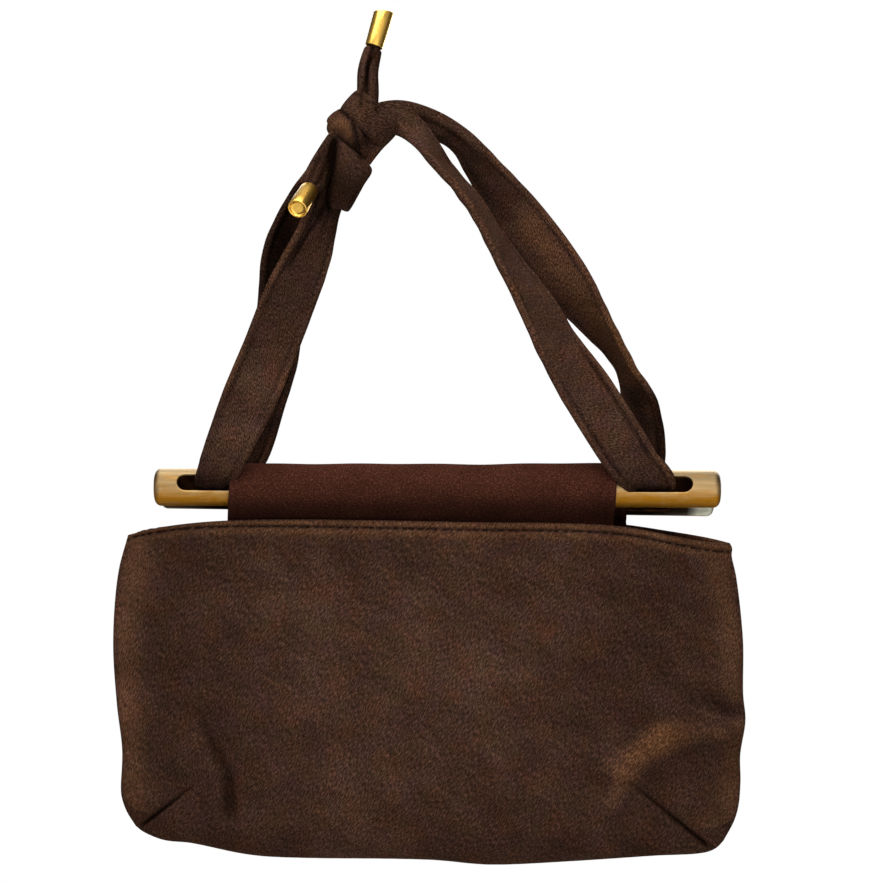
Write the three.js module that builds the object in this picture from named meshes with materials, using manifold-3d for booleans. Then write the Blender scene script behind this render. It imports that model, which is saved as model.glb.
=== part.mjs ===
// A soft wool purse. Two dished panels are sewn together at the sides and the bottom. A fabric sleeve on each
// panel holds a slotted brass tube, and one long strap runs through both tubes at each end, is tied in a knot
// near the top, and ends in two brass tips. Millimetres, +Z up, +Y towards the back of the purse.
// The origin is the underside of the strap, at the place where it hangs.
import * as THREE from "three";
import { mergeVertices } from "three/addons/utils/BufferGeometryUtils.js";
import Module from "manifold-3d";

const wasm = await Module();
wasm.setup();

// Driving dimensions

const GAP = 0.3; // clearance between neighbouring pieces

const BAG = {
  wall: 2, // cloth, interlining and facing pressed together
  mouthHalf: 15.4, // outside of a panel at the mouth, from the middle plane
  bellyHalf: 24, // outside of a panel at its fullest
  mouthTaper: 0.17, // share of the width over which the mouth narrows to a corner
  bellySquare: 2.4,
  bellyRound: 0.7,
  bellyStart: 0.07, // share of the height where the panel starts to swell
  bellyFull: 0.6,
  bottomSquare: 8,
  bottomRound: 0.5,
  seamFade: 6, // folds die away where the panel is this close to its seam
  crowding: 0.45, // how strongly the grid of a panel closes up towards its edges
};
const FRONT_GRID = { columns: 40, rows: 20 };
const BACK_GRID = { columns: 30, rows: 16 };
const WELD = 1e-4; // points of a mesh closer than this are one point

const TUBE = {
  diameter: 16.4,
  wall: 1.2,
  length: 247,
  endRound: 3.4,
  roundSteps: 3,
  boreSteps: 2,
  x: 18.8,
  y: 10.9, // distance of each tube's axis from the middle plane
  z: -154.4,
  sides: 24,
};
const BACK_TUBE_DROP = 3.2;
const BACK_TUBE_TILT = 0.7; // degrees, right end down
const SLOT = {
  length: 30.5, // through the wall that faces out
  innerLength: 23.9, // through the wall that faces the other tube
  width: 7.1,
  leftFromEnd: 10.5,
  rightFromEnd: 12.6,
  tilt: 18,
  arcSteps: 6,
};

const SLEEVE = {
  wall: 2,
  ease: 0.5, // cloth stands this far off the tube
  left: -71.9,
  right: 96.3,
  tail: 30, // below the tube's axis, where the sewn layers end
  arcSteps: 14,
};
// Where the two layers meet below the tube's axis, and how far the sleeve is shifted to the right
const FRONT_LOOP = { join: 14.3, shift: 0 };
const BACK_LOOP = { join: 11, shift: 6 };

const STRAP = {
  stepsPerRow: 2,
  roundest: 0.6, // a gathered section keeps this share of its width flat
  sag: 0.9, // the band lies this much lower than the middle of a slot
  stand: 4.2, // it turns down this far in front of the slot
  lift: 1.6, // and this far above it
};
const TIP = {
  mouth: 8, // diameter at the open end
  end: 8.8, // diameter at the closed end
  wall: 0.6,
  length: 16,
  endInset: 1,
  endThick: 1.2,
  rimRound: 0.5,
  grip: 7, // the gathered tail goes this far into the tip
  neck: 1.8, // and is as wide as the open end this far before it
  fill: 0.92,
  flat: 0.86,
  sides: 24,
};

// Outline of the sewn panels seen from the front

const FRONT_TOP_EDGE = [
  { x: -118.3, z: -175.4 },
  { x: -99.7, z: -172.6 },
  { x: -73, z: -169.2 },
  { x: -20, z: -168.3 },
  { x: 40, z: -168.9 },
  { x: 97, z: -171.6 },
  { x: 122, z: -175.2 },
  { x: 148, z: -178.8 },
];
const BACK_TOP_EDGE = [
  { x: -118.3, z: -175.4 },
  { x: -99.7, z: -171.2 },
  { x: -73, z: -168.6 },
  { x: -20, z: -168.3 },
  { x: 40, z: -168.9 },
  { x: 97, z: -170.6 },
  { x: 122, z: -174.0 },
  { x: 148, z: -178.8 },
];
const LEFT_EDGE = [
  { x: -118.3, z: -175.4 },
  { x: -122.6, z: -192 },
  { x: -124.9, z: -222 },
  { x: -123.3, z: -250 },
  { x: -121, z: -272 },
  { x: -120.8, z: -292 },
  { x: -115.8, z: -304 },
];
const RIGHT_EDGE = [
  { x: 148, z: -178.8 },
  { x: 151.2, z: -194 },
  { x: 154.2, z: -222 },
  { x: 154.3, z: -246 },
  { x: 155, z: -259 },
  { x: 152.9, z: -275 },
  { x: 152.4, z: -293 },
  { x: 147, z: -312 },
];
const BOTTOM_EDGE = [
  { x: -115.8, z: -304 },
  { x: -104, z: -309.6 },
  { x: -85, z: -312.3 },
  { x: -55, z: -317.4 },
  { x: 15, z: -319 },
  { x: 42, z: -321.2 },
  { x: 77, z: -319.8 },
  { x: 113, z: -317.6 },
  { x: 135, z: -316 },
  { x: 147, z: -312 },
];

// Folds and darts: each runs from (x1, z1) to (x2, z2), stands out by rise (a dent is negative) and is about
// two widths across
const DARTS = [
  { x1: -112, z1: -303, x2: -86, z2: -282.3, width: 3, rise: -3 },
  { x1: 138.5, z1: -310, x2: 105, z2: -282.3, width: 3, rise: -3 },
];
const FRONT_FOLDS = [
  ...DARTS,
  { x1: -84.8, z1: -254, x2: -68.4, z2: -292, width: 6, rise: -3.4 },
  { x1: 99, z1: -279, x2: 122, z2: -262.5, width: 7, rise: 3 },
  { x1: 122, z1: -262.5, x2: 152, z2: -256, width: 7, rise: 3 },
  { x1: 113, z1: -247, x2: 152, z2: -247, width: 7, rise: -2.6 },
  { x1: 88, z1: -272, x2: 94, z2: -287, width: 5, rise: -2.4 },
];
const BACK_FOLDS = [
  ...DARTS,
  { x1: 118, z1: -258, x2: 98, z2: -290, width: 7, rise: -3 },
  { x1: -118, z1: -262, x2: -86, z2: -256, width: 8, rise: 2.4 },
];

// Strap, as the middle of its band. Width and thickness change where it is gathered. The width runs from one
// edge to the other: lean is its angle from +X in the front view, swing its angle towards the back.
const LEFT_PASS = { x: -78.9, width: 12.8, thick: 4.2, lean: 0 };
const RIGHT_PASS = { x: 112, width: 18, thick: 3.5, lean: -180 };
const FRONT_LEFT = [
  { x: -19, y: -9, z: -7, width: 20, thick: 5, lean: -38, swing: 0 },
  { x: -28.2, y: -10.5, z: -24, width: 17, thick: 4, lean: -24, swing: 25 },
  { x: -31.8, y: -12.5, z: -36, width: 19, thick: 3.2, lean: -22, swing: 42 },
  { x: -37.2, y: -15, z: -52.7, width: 22.6, thick: 2.8, lean: -21, swing: 34 },
  { x: -45.6, y: -17.5, z: -72.5, width: 24, thick: 2.8, lean: -20, swing: 20 },
  { x: -53.5, y: -20.5, z: -93.5, width: 23.5, thick: 2.8, lean: -21, swing: 10 },
  { x: -62.7, y: -23, z: -116, width: 23.5, thick: 2.8, lean: -21, swing: 0 },
  { x: -72, y: -25, z: -137.5, width: 19.4, thick: 3, lean: -18, swing: 0 },
];
const BACK_LEFT = [
  { x: -68.5, y: 25, z: -138, width: 22, thick: 3, lean: -15, swing: 0 },
  { x: -61.6, y: 22.5, z: -115, width: 23.4, thick: 2.8, lean: -14, swing: 12 },
  { x: -54.6, y: 19.5, z: -92.5, width: 24, thick: 2.8, lean: -10, swing: 28 },
  { x: -52, y: 16.5, z: -70, width: 23, thick: 2.8, lean: -6, swing: 34 },
  { x: -49.4, y: 13.5, z: -48, width: 22, thick: 2.8, lean: -12, swing: 30 },
  { x: -41.3, y: 11, z: -26, width: 21, thick: 3, lean: -26, swing: 30 },
  { x: -26, y: 9, z: -8, width: 19, thick: 3.4, lean: -50, swing: 24 },
  { x: -13, y: 7.5, z: 6, width: 17, thick: 4, lean: -68, swing: 20 },
];
const BACK_HOOK = [{ x: 0, y: 6.5, z: 11, width: 15, thick: 4.2, lean: -90, swing: 22 }];
const BACK_RIGHT = [
  { x: 14, y: 7, z: 8.4, width: 13.5, thick: 4.4, lean: -108, swing: 24 },
  { x: 29, y: 8, z: 0.4, width: 15, thick: 3.6, lean: -128, swing: 34 },
  { x: 40.4, y: 10, z: -12.5, width: 20, thick: 3, lean: -134, swing: 46 },
  { x: 58, y: 12.5, z: -34.5, width: 22.5, thick: 2.8, lean: -142, swing: 24 },
  { x: 74, y: 15, z: -56.8, width: 23.5, thick: 2.8, lean: -149, swing: 20 },
  { x: 88.6, y: 18, z: -78.3, width: 23.5, thick: 2.8, lean: -151, swing: 42 },
  { x: 101, y: 20.5, z: -92.5, width: 23.5, thick: 2.8, lean: -150, swing: 74 },
  { x: 108.6, y: 22.5, z: -110, width: 23, thick: 2.8, lean: -160, swing: 60 },
  { x: 112.5, y: 25, z: -137, width: 21, thick: 3, lean: -176, swing: 30 },
];
const FRONT_RIGHT = [
  { x: 102, y: -25, z: -138, width: 25, thick: 3, lean: -150, swing: 0 },
  { x: 87.2, y: -23, z: -116, width: 24.5, thick: 2.8, lean: -148, swing: 0 },
  { x: 72.6, y: -20, z: -93.5, width: 24.5, thick: 2.8, lean: -151, swing: -37 },
  { x: 61.3, y: -17, z: -72.4, width: 24.5, thick: 2.8, lean: -152, swing: -46 },
  { x: 48.2, y: -14, z: -50.4, width: 24, thick: 2.8, lean: -151, swing: -58 },
  { x: 34, y: -11, z: -28.4, width: 23, thick: 2.8, lean: -146, swing: -66 },
  { x: 21.8, y: -9, z: -12.4, width: 21, thick: 3, lean: -138, swing: -68 },
  { x: 11.5, y: -7.5, z: 1.4, width: 18, thick: 3.6, lean: -118, swing: -36 },
];
const FRONT_HOOK = [{ x: 0, y: -6.5, z: 7.6, width: 15.4, thick: 4.4, lean: -90, swing: -16 }];
const INTO_KNOT = [{ x: -10, y: -7.5, z: 3, width: 19, thick: 5, lean: -58, swing: -6 }];

// Knot: two closed loops round the crossing bands, the ear that hangs below them, and the two tails
const WRAP = {
  x: -11.4, y: -9, z: 6.8,
  across: 11, deep: 8.6, width: 15, thick: 3.6, lean: -131, steps: 14,
};
const ROLL = {
  x: -21.4, y: -12, z: 2.1,
  across: 7.6, deep: 8, width: 10.4, thick: 4.2, lean: -146, steps: 12,
};
const EAR = [
  { x: -24.6, y: -18.5, z: -0.5, width: 5, thick: 3.6, lean: 20, swing: 0 },
  { x: -21.8, y: -20.4, z: -7.7, width: 9, thick: 3.4, lean: 3, swing: 0 },
  { x: -19.2, y: -20.8, z: -14, width: 14.5, thick: 3.2, lean: 10, swing: 0 },
  { x: -18.4, y: -20.2, z: -19.6, width: 18, thick: 3, lean: 15, swing: 8 },
  { x: -22, y: -18.8, z: -25.9, width: 13.6, thick: 3, lean: 16, swing: 8 },
  { x: -23.1, y: -17.4, z: -33.4, width: 8.4, thick: 3, lean: 4, swing: 0 },
];
const LOWER_TAIL = [
  { x: -25.4, y: -18.5, z: -0.5, width: 5, thick: 4, lean: 0, swing: 0 },
  { x: -28.7, y: -19.2, z: -6.8, width: 6.4, thick: 4.4, lean: -18, swing: 8 },
  { x: -31, y: -19.6, z: -13.1, width: 9, thick: 4.6, lean: -22, swing: 12 },
  { x: -33.7, y: -20.6, z: -20, width: 10.6, thick: 5, lean: -30, swing: 10 },
];
const LOWER_TIP = { x: -36.4, y: -24.2, z: -25.6, dx: -0.27, dy: -0.755, dz: -0.598, lean: -34 };
const UPPER_TAIL = [
  { x: -13, y: -11, z: 8, width: 11, thick: 6.4, lean: 0, swing: 0 },
  { x: -11.8, y: -8, z: 19, width: 9.8, thick: 6.4, lean: -2, swing: 0 },
  { x: -11.7, y: -6.2, z: 29, width: 9.2, thick: 6.4, lean: -7, swing: 0 },
];
const UPPER_TIP = { x: -9.2, y: -4.7, z: 40, dx: 0.27, dy: 0.08, dz: 0.96, lean: -15 };

// Looks

const WOOL = new THREE.MeshStandardMaterial({ color: 0x432d24, roughness: 0.95, metalness: 0 });
const SLEEVE_CLOTH = new THREE.MeshStandardMaterial({ color: 0x3e221a, roughness: 0.9, metalness: 0 });
const BRASS = new THREE.MeshStandardMaterial({ color: 0xb8862f, roughness: 0.38, metalness: 1 });
const GILT = new THREE.MeshStandardMaterial({ color: 0xd9a83a, roughness: 0.25, metalness: 1 });

// Solids

const rad = THREE.MathUtils.degToRad;

// A closed mesh as a solid that can be joined and cut
function solidOf(geometry) {
  const bare = geometry.clone();
  for (const name of Object.keys(bare.attributes)) {
    if (name !== "position") bare.deleteAttribute(name);
  }
  const merged = mergeVertices(bare, WELD);
  return new wasm.Manifold(
    new wasm.Mesh({
      numProp: 3,
      vertProperties: new Float32Array(merged.attributes.position.array),
      triVerts: new Uint32Array(merged.index.array),
    }),
  );
}

function geometryOf(solid) {
  const mesh = solid.getMesh();
  return new THREE.BufferGeometry()
    .setAttribute("position", new THREE.BufferAttribute(new Float32Array(mesh.vertProperties), 3))
    .setIndex(new THREE.BufferAttribute(new Uint32Array(mesh.triVerts), 1));
}

function meshFrom(points, triangles) {
  return new THREE.BufferGeometry().setFromPoints(points).setIndex(triangles);
}

// Two triangles for each cell of a grid of points with the given number of columns
function gridTriangles(columns, rows, offset, flipped) {
  const triangles = [];
  for (let j = 0; j < rows - 1; j++) {
    for (let i = 0; i < columns - 1; i++) {
      const a = offset + j * columns + i;
      const [b, c, d] = [a + 1, a + columns, a + columns + 1];
      if (flipped) triangles.push(a, b, d, a, d, c);
      else triangles.push(a, d, b, a, c, d);
    }
  }
  return triangles;
}

// Panels

const smooth = (low, high, value) => THREE.MathUtils.smoothstep(value, low, high);

// Shares from 0 to 1 that lie closer together near both ends
function crowded(count, pull) {
  return Array.from({ length: count + 1 }, (_, i) => {
    const t = i / count;
    return t - (pull * Math.sin(2 * Math.PI * t)) / (2 * Math.PI);
  });
}

function edgePoints(rows, shares) {
  const curve = new THREE.CatmullRomCurve3(rows.map((r) => new THREE.Vector3(r.x, 0, r.z)));
  return shares.map((t) => curve.getPointAt(t));
}

function foldRise(folds, x, z) {
  const spot = new THREE.Vector2(x, z);
  let rise = 0;
  for (const f of folds) {
    const start = new THREE.Vector2(f.x1, f.z1);
    const run = new THREE.Vector2(f.x2, f.z2).sub(start);
    const along = THREE.MathUtils.clamp(spot.clone().sub(start).dot(run) / run.lengthSq(), 0, 1);
    const away = spot.distanceTo(start.addScaledVector(run, along)) / f.width;
    rise += f.rise * Math.exp(-away * away);
  }
  return rise;
}

// How far the panel stands off the middle plane: the flat-sided mouth eases into a round belly, which closes
// in a curve at the bottom seam
function depthAt(u, v, x, z, folds) {
  const fromCorner = Math.min(1, Math.min(u, 1 - u) / BAG.mouthTaper);
  const mouth = BAG.mouthHalf * Math.sin((Math.PI / 2) * fromCorner);
  const across = Math.max(0, 1 - Math.abs(2 * u - 1) ** BAG.bellySquare);
  const belly = BAG.bellyHalf * across ** BAG.bellyRound;
  const share = smooth(BAG.bellyStart, BAG.bellyFull, v);
  const bottom = (1 - v ** BAG.bottomSquare) ** BAG.bottomRound;
  const plain = (mouth * (1 - share) + belly * share) * bottom;
  return plain + foldRise(folds, x, z) * Math.min(1, plain / BAG.seamFade);
}

// A dished wall of cloth: side is -1 for the front panel and 1 for the back one
function panel(side, topEdge, folds, { columns, rows }) {
  const us = crowded(columns, BAG.crowding);
  const vs = crowded(rows, BAG.crowding);
  const [top, bottom] = [edgePoints(topEdge, us), edgePoints(BOTTOM_EDGE, us)];
  const [left, right] = [edgePoints(LEFT_EDGE, vs), edgePoints(RIGHT_EDGE, vs)];
  const outer = [];
  vs.forEach((v, j) =>
    us.forEach((u, i) => {
      const point = new THREE.Vector3()
        .addScaledVector(top[i], 1 - v)
        .addScaledVector(bottom[i], v)
        .addScaledVector(left[j], 1 - u)
        .addScaledVector(right[j], u)
        .addScaledVector(top[0], -(1 - u) * (1 - v))
        .addScaledVector(top[columns], -u * (1 - v))
        .addScaledVector(bottom[0], -(1 - u) * v)
        .addScaledVector(bottom[columns], -u * v);
      const onSeam = i === 0 || i === columns || j === rows;
      const depth = onSeam ? 0 : depthAt(u, v, point.x, point.z, folds);
      point.y = side * (Math.max(depth, 0) + GAP / 2);
      outer.push(point);
    }),
  );
  const [m, n] = [us.length, vs.length];
  const skin = meshFrom(outer, gridTriangles(m, n, 0, side > 0));
  skin.computeVertexNormals();
  const normals = skin.getAttribute("normal");
  const inner = outer.map((point, k) => {
    const [i, j] = [k % m, Math.floor(k / m)];
    const normal = new THREE.Vector3().fromBufferAttribute(normals, k);
    if (i === 0 || i === columns || j === rows) normal.y = 0;
    if (j === 0) normal.z = 0;
    const moved = point.clone().addScaledVector(normal.normalize(), -BAG.wall);
    moved.y = side * Math.max(GAP / 2, side * moved.y);
    return moved;
  });
  const rim = [
    ...us.map((_, i) => i),
    ...vs.slice(1).map((_, j) => (j + 1) * m + columns),
    ...us.slice(1).map((_, i) => rows * m + columns - 1 - i),
    ...vs.slice(1, -1).map((_, j) => (rows - 1 - j) * m),
  ];
  const total = m * n;
  const triangles = [
    ...gridTriangles(m, n, 0, side > 0),
    ...gridTriangles(m, n, total, side < 0),
  ];
  rim.forEach((a, k) => {
    const b = rim[(k + 1) % rim.length];
    if (side > 0) triangles.push(a, b + total, b, a, a + total, b + total);
    else triangles.push(a, b, b + total, a, b + total, a + total);
  });
  return meshFrom([...outer, ...inner], triangles);
}

// Tubes

// A turned solid about the X axis, from a closed profile of (radius, along) pairs
function turned(profile, sides) {
  const points = profile.map(([radius, along]) => new THREE.Vector2(radius, along));
  return new THREE.LatheGeometry(points, sides).rotateZ(-Math.PI / 2);
}

// Profile of a rod with rounded ends that starts and ends on the axis
function rodProfile(radius, half, round, steps) {
  const arc = (sign, k) => {
    const a = (k / steps) * (Math.PI / 2);
    return [radius - round + round * Math.sin(a), sign * (half - round + round * Math.cos(a))];
  };
  const low = Array.from({ length: steps + 1 }, (_, k) => arc(-1, k));
  const high = Array.from({ length: steps + 1 }, (_, k) => arc(1, steps - k));
  return [[0, -half], ...low, ...high, [0, half]];
}

// A long hole with round ends at x, through the wall on one side of the tube's axis: side is -1 or 1 along Y
function slotCutter(x, length, side) {
  const [straight, radius] = [(length - SLOT.width) / 2, SLOT.width / 2];
  const shape = new THREE.Shape();
  shape.absarc(straight, 0, radius, -Math.PI / 2, Math.PI / 2, false);
  shape.absarc(-straight, 0, radius, Math.PI / 2, (3 * Math.PI) / 2, false);
  const deep = TUBE.diameter;
  return new THREE.ExtrudeGeometry(shape, { depth: deep, bevelEnabled: false, curveSegments: SLOT.arcSteps })
    .translate(x, 0, side < 0 ? 0 : -deep)
    .rotateX(Math.PI / 2);
}

// A closed tube along X, with two slots near each end. They share the end that lies towards the middle.
function tube(side) {
  const half = TUBE.length / 2;
  const radius = TUBE.diameter / 2;
  const round = TUBE.endRound;
  const wall = TUBE.wall;
  const outside = rodProfile(radius, half, round, TUBE.roundSteps);
  const inside = rodProfile(radius - wall, half - wall, round - wall, TUBE.boreSteps);
  const leftInner = -half + SLOT.leftFromEnd + SLOT.length;
  const rightInner = half - SLOT.rightFromEnd - SLOT.length;
  const cutters = [
    slotCutter(leftInner - SLOT.length / 2, SLOT.length, side),
    slotCutter(leftInner - SLOT.innerLength / 2, SLOT.innerLength, -side),
    slotCutter(rightInner + SLOT.length / 2, SLOT.length, side),
    slotCutter(rightInner + SLOT.innerLength / 2, SLOT.innerLength, -side),
  ];
  const hollow = solidOf(turned(outside, TUBE.sides)).subtract(solidOf(turned(inside, TUBE.sides)));
  return geometryOf(cutters.reduce((metal, cutter) => metal.subtract(solidOf(cutter)), hollow));
}

// Sleeves

// Outline of a loop of cloth round the tube that closes into a flat tail below it
function loopOutline(radius, tailHalf, join, tail) {
  const outline = [];
  const reach = Math.hypot(tailHalf, join);
  const tangent = Math.atan2(join, tailHalf) - Math.acos(radius / reach);
  for (let k = 0; k <= SLEEVE.arcSteps; k++) {
    const angle = -tangent + (k / SLEEVE.arcSteps) * (Math.PI + 2 * tangent);
    outline.push(new THREE.Vector2(radius * Math.cos(angle), radius * Math.sin(angle)));
  }
  outline.push(new THREE.Vector2(-tailHalf, -join));
  if (tail > join) outline.push(new THREE.Vector2(-tailHalf, -tail), new THREE.Vector2(tailHalf, -tail));
  outline.push(new THREE.Vector2(tailHalf, -join));
  return outline;
}

function sleeve(loop) {
  const inside = TUBE.diameter / 2 + SLEEVE.ease;
  const shape = new THREE.Shape(loopOutline(inside + SLEEVE.wall, SLEEVE.wall, loop.join, SLEEVE.tail));
  const hollowJoin = loop.join - SLEEVE.wall;
  shape.holes.push(new THREE.Path(loopOutline(inside, GAP / 2, hollowJoin, hollowJoin)));
  const length = SLEEVE.right - SLEEVE.left;
  return new THREE.ExtrudeGeometry(shape, { depth: length, bevelEnabled: false, steps: 1 })
    .rotateX(Math.PI / 2)
    .rotateZ(Math.PI / 2)
    .translate(SLEEVE.left + loop.shift - TUBE.x, 0, 0);
}

// Strap

const widthAxis = (row) => {
  const [lean, swing] = [rad(row.lean), rad(row.swing)];
  return new THREE.Vector3(
    Math.cos(lean) * Math.cos(swing),
    Math.sin(swing),
    Math.sin(lean) * Math.cos(swing),
  );
};

// A flat band with rounded edges, swept through its rows: a ring if closed, and capped at both ends if not
function band(rows, closed = false, steps = STRAP.stepsPerRow) {
  const curve = new THREE.CatmullRomCurve3(
    rows.map((r) => new THREE.Vector3(r.x, r.y, r.z)),
    closed,
  );
  const spans = closed ? rows.length : rows.length - 1;
  const rings = closed ? spans * steps : spans * steps + 1;
  const sides = 8;
  const points = [];
  for (let k = 0; k < rings; k++) {
    const row = Math.min(Math.floor(k / steps), spans - 1);
    const t = smooth(0, 1, k / steps - row);
    const [a, b] = [rows[row], rows[(row + 1) % rows.length]];
    const middle = curve.getPoint(k / (spans * steps));
    const tangent = curve.getTangent(k / (spans * steps));
    const across = widthAxis(a).lerp(widthAxis(b), t);
    across.addScaledVector(tangent, -across.dot(tangent)).normalize();
    const out = new THREE.Vector3().crossVectors(tangent, across);
    const half = THREE.MathUtils.lerp(a.width, b.width, t) / 2;
    const thin = THREE.MathUtils.lerp(a.thick, b.thick, t) / 2;
    const shoulder = Math.max(half - thin, half * STRAP.roundest);
    const section = [
      [half, 0],
      [shoulder, thin],
      [0, thin],
      [-shoulder, thin],
      [-half, 0],
      [-shoulder, -thin],
      [0, -thin],
      [shoulder, -thin],
    ];
    for (const [w, n] of section) {
      points.push(middle.clone().addScaledVector(across, w).addScaledVector(out, n));
    }
  }
  const triangles = [];
  for (let k = 0; k < (closed ? rings : rings - 1); k++) {
    const next = ((k + 1) % rings) * sides;
    for (let i = 0; i < sides; i++) {
      const j = (i + 1) % sides;
      triangles.push(k * sides + i, k * sides + j, next + j, k * sides + i, next + j, next + i);
    }
  }
  const last = (rings - 1) * sides;
  for (let i = 1; i < sides - 1 && !closed; i++) {
    triangles.push(0, i + 1, i);
    triangles.push(last, last + i, last + i + 1);
  }
  return meshFrom(points, triangles);
}

// Rows of the strap where it dips through both tubes from front to back at x
function throughTubes({ x, width, thick, lean }) {
  const tilt = rad(SLOT.tilt);
  const radius = TUBE.diameter / 2;
  const backZ = TUBE.z - BACK_TUBE_DROP - (x - TUBE.x) * Math.tan(rad(BACK_TUBE_TILT));
  const rise = radius * Math.sin(tilt);
  const reach = radius * Math.cos(tilt);
  const { sag, stand, lift } = STRAP;
  const path = [
    { y: -TUBE.y - reach - stand, z: TUBE.z + rise + lift },
    { y: -TUBE.y - reach, z: TUBE.z + rise - sag },
    { y: -TUBE.y, z: TUBE.z - sag / 2 },
    { y: 0, z: (TUBE.z + backZ) / 2 - rise - sag / 2 },
    { y: TUBE.y, z: backZ - sag / 2 },
    { y: TUBE.y + reach, z: backZ + rise - sag },
    { y: TUBE.y + reach + stand, z: backZ + rise + lift },
  ];
  return path.map((p) => ({ x, ...p, width, thick, lean, swing: 0 }));
}

// A closed loop round the knot, its band lying along the lean of the strap that it holds
function ringRows(ring) {
  const lean = rad(ring.lean);
  const [sideX, sideZ] = [-Math.sin(lean), Math.cos(lean)];
  return Array.from({ length: ring.steps }, (_, k) => {
    const angle = (k / ring.steps) * 2 * Math.PI;
    const off = ring.across * Math.cos(angle);
    return {
      x: ring.x + off * sideX,
      y: ring.y - ring.deep * Math.sin(angle),
      z: ring.z + off * sideZ,
      width: ring.width,
      thick: ring.thick,
      lean: ring.lean,
      swing: 0,
    };
  });
}

// Rows that carry a tail into its tip: as wide as the open end before it, then gathered to fit the bore
function intoTip(at) {
  const along = new THREE.Vector3(at.dx, at.dy, at.dz).normalize();
  const bore = TIP.mouth - 2 * (TIP.wall + GAP);
  const places = [
    { far: -TIP.neck, wide: TIP.mouth },
    { far: 0, wide: bore * TIP.fill },
    { far: TIP.grip, wide: bore * TIP.fill },
  ];
  return places.map(({ far, wide }) => ({
    x: at.x + along.x * far,
    y: at.y + along.y * far,
    z: at.z + along.z * far,
    width: wide,
    thick: wide * TIP.flat,
    lean: at.lean,
    swing: 0,
  }));
}

function strap() {
  const loop = [
    ...FRONT_LEFT,
    ...throughTubes(LEFT_PASS),
    ...BACK_LEFT,
    ...BACK_HOOK,
    ...BACK_RIGHT,
    ...throughTubes(RIGHT_PASS).reverse(),
    ...FRONT_RIGHT,
    ...FRONT_HOOK,
    ...INTO_KNOT,
  ];
  const knot = [
    band(ringRows(WRAP), true, 1),
    band(ringRows(ROLL), true, 1),
    band(EAR),
    band([...LOWER_TAIL, ...intoTip(LOWER_TIP)]),
    band([...UPPER_TAIL, ...intoTip(UPPER_TIP)]),
  ];
  return geometryOf(knot.reduce((whole, part) => whole.add(solidOf(part)), solidOf(band(loop, true))));
}

// Tips

// A metal cup that grips the gathered end of the strap, with its open end at the origin and its end along +X
function tip() {
  const [mouth, end, round] = [TIP.mouth / 2, TIP.end / 2, TIP.rimRound];
  const [bore, recess] = [mouth - TIP.wall, end - TIP.wall];
  const floor = TIP.length - TIP.endInset - TIP.endThick;
  const profile = [
    [0, floor],
    [bore, floor],
    [bore, 0],
    [mouth, 0],
    [end, TIP.length - round],
    [end - round, TIP.length],
    [recess, TIP.length],
    [recess, TIP.length - TIP.endInset],
    [0, TIP.length - TIP.endInset],
  ];
  return turned(profile, TIP.sides);
}

function placeTip(name, at) {
  const mesh = new THREE.Mesh(tip(), GILT);
  mesh.name = name;
  mesh.position.set(at.x, at.y, at.z);
  mesh.quaternion.setFromUnitVectors(
    new THREE.Vector3(1, 0, 0),
    new THREE.Vector3(at.dx, at.dy, at.dz).normalize(),
  );
  return mesh;
}

// Assembly

function piece(name, geometry, material) {
  const mesh = new THREE.Mesh(geometry, material);
  mesh.name = name;
  return mesh;
}

// A tube with its sleeve: side is -1 for the front one and 1 for the back one. The slots face out and up.
function tubeGroup(side, name, drop, tilt, loop) {
  const group = new THREE.Group();
  group.position.set(TUBE.x, side * TUBE.y, TUBE.z - drop);
  group.rotation.y = rad(tilt);
  const metal = piece(`${name}_tube`, tube(side), BRASS);
  metal.rotation.x = side * rad(SLOT.tilt);
  group.add(metal, piece(`${name}_sleeve`, sleeve(loop), SLEEVE_CLOTH));
  return group;
}

const purse = new THREE.Group();
purse.name = "purse";
purse.add(
  piece("front_panel", panel(-1, FRONT_TOP_EDGE, FRONT_FOLDS, FRONT_GRID), WOOL),
  piece("back_panel", panel(1, BACK_TOP_EDGE, BACK_FOLDS, BACK_GRID), WOOL),
  tubeGroup(-1, "front", 0, 0, FRONT_LOOP),
  tubeGroup(1, "back", BACK_TUBE_DROP, BACK_TUBE_TILT, BACK_LOOP),
  piece("strap", strap(), WOOL),
  placeTip("upper_tip", UPPER_TIP),
  placeTip("lower_tip", LOWER_TIP),
);

export default purse;
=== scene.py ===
import math

import bpy
import numpy as np
from bpy.props import FloatProperty, FloatVectorProperty, PointerProperty
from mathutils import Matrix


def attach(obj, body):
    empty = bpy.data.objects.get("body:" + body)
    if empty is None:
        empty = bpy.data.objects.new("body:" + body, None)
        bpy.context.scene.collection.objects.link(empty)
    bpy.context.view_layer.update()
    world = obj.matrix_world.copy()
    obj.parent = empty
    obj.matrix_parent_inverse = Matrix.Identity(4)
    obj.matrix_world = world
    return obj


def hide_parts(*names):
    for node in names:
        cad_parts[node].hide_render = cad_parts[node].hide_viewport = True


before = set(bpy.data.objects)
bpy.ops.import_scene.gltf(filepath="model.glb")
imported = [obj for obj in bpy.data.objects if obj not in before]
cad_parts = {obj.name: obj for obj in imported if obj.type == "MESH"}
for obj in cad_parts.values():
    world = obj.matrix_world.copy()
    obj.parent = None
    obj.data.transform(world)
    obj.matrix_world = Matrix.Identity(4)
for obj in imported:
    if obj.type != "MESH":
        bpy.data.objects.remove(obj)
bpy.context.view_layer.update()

bl_info = {
    "name": "Soft wool purse",
    "version": (1, 0, 0),
    "blender": (4, 5, 0),
    "location": "3D View > Sidebar > Purse",
    "description": "Builds a soft wool purse with slotted brass tubes and a knotted strap",
    "category": "Object",
}

MM = 0.001
BODY = "root"
# Gap between neighbouring pieces, in millimetres
GAP = 0.3
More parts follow.
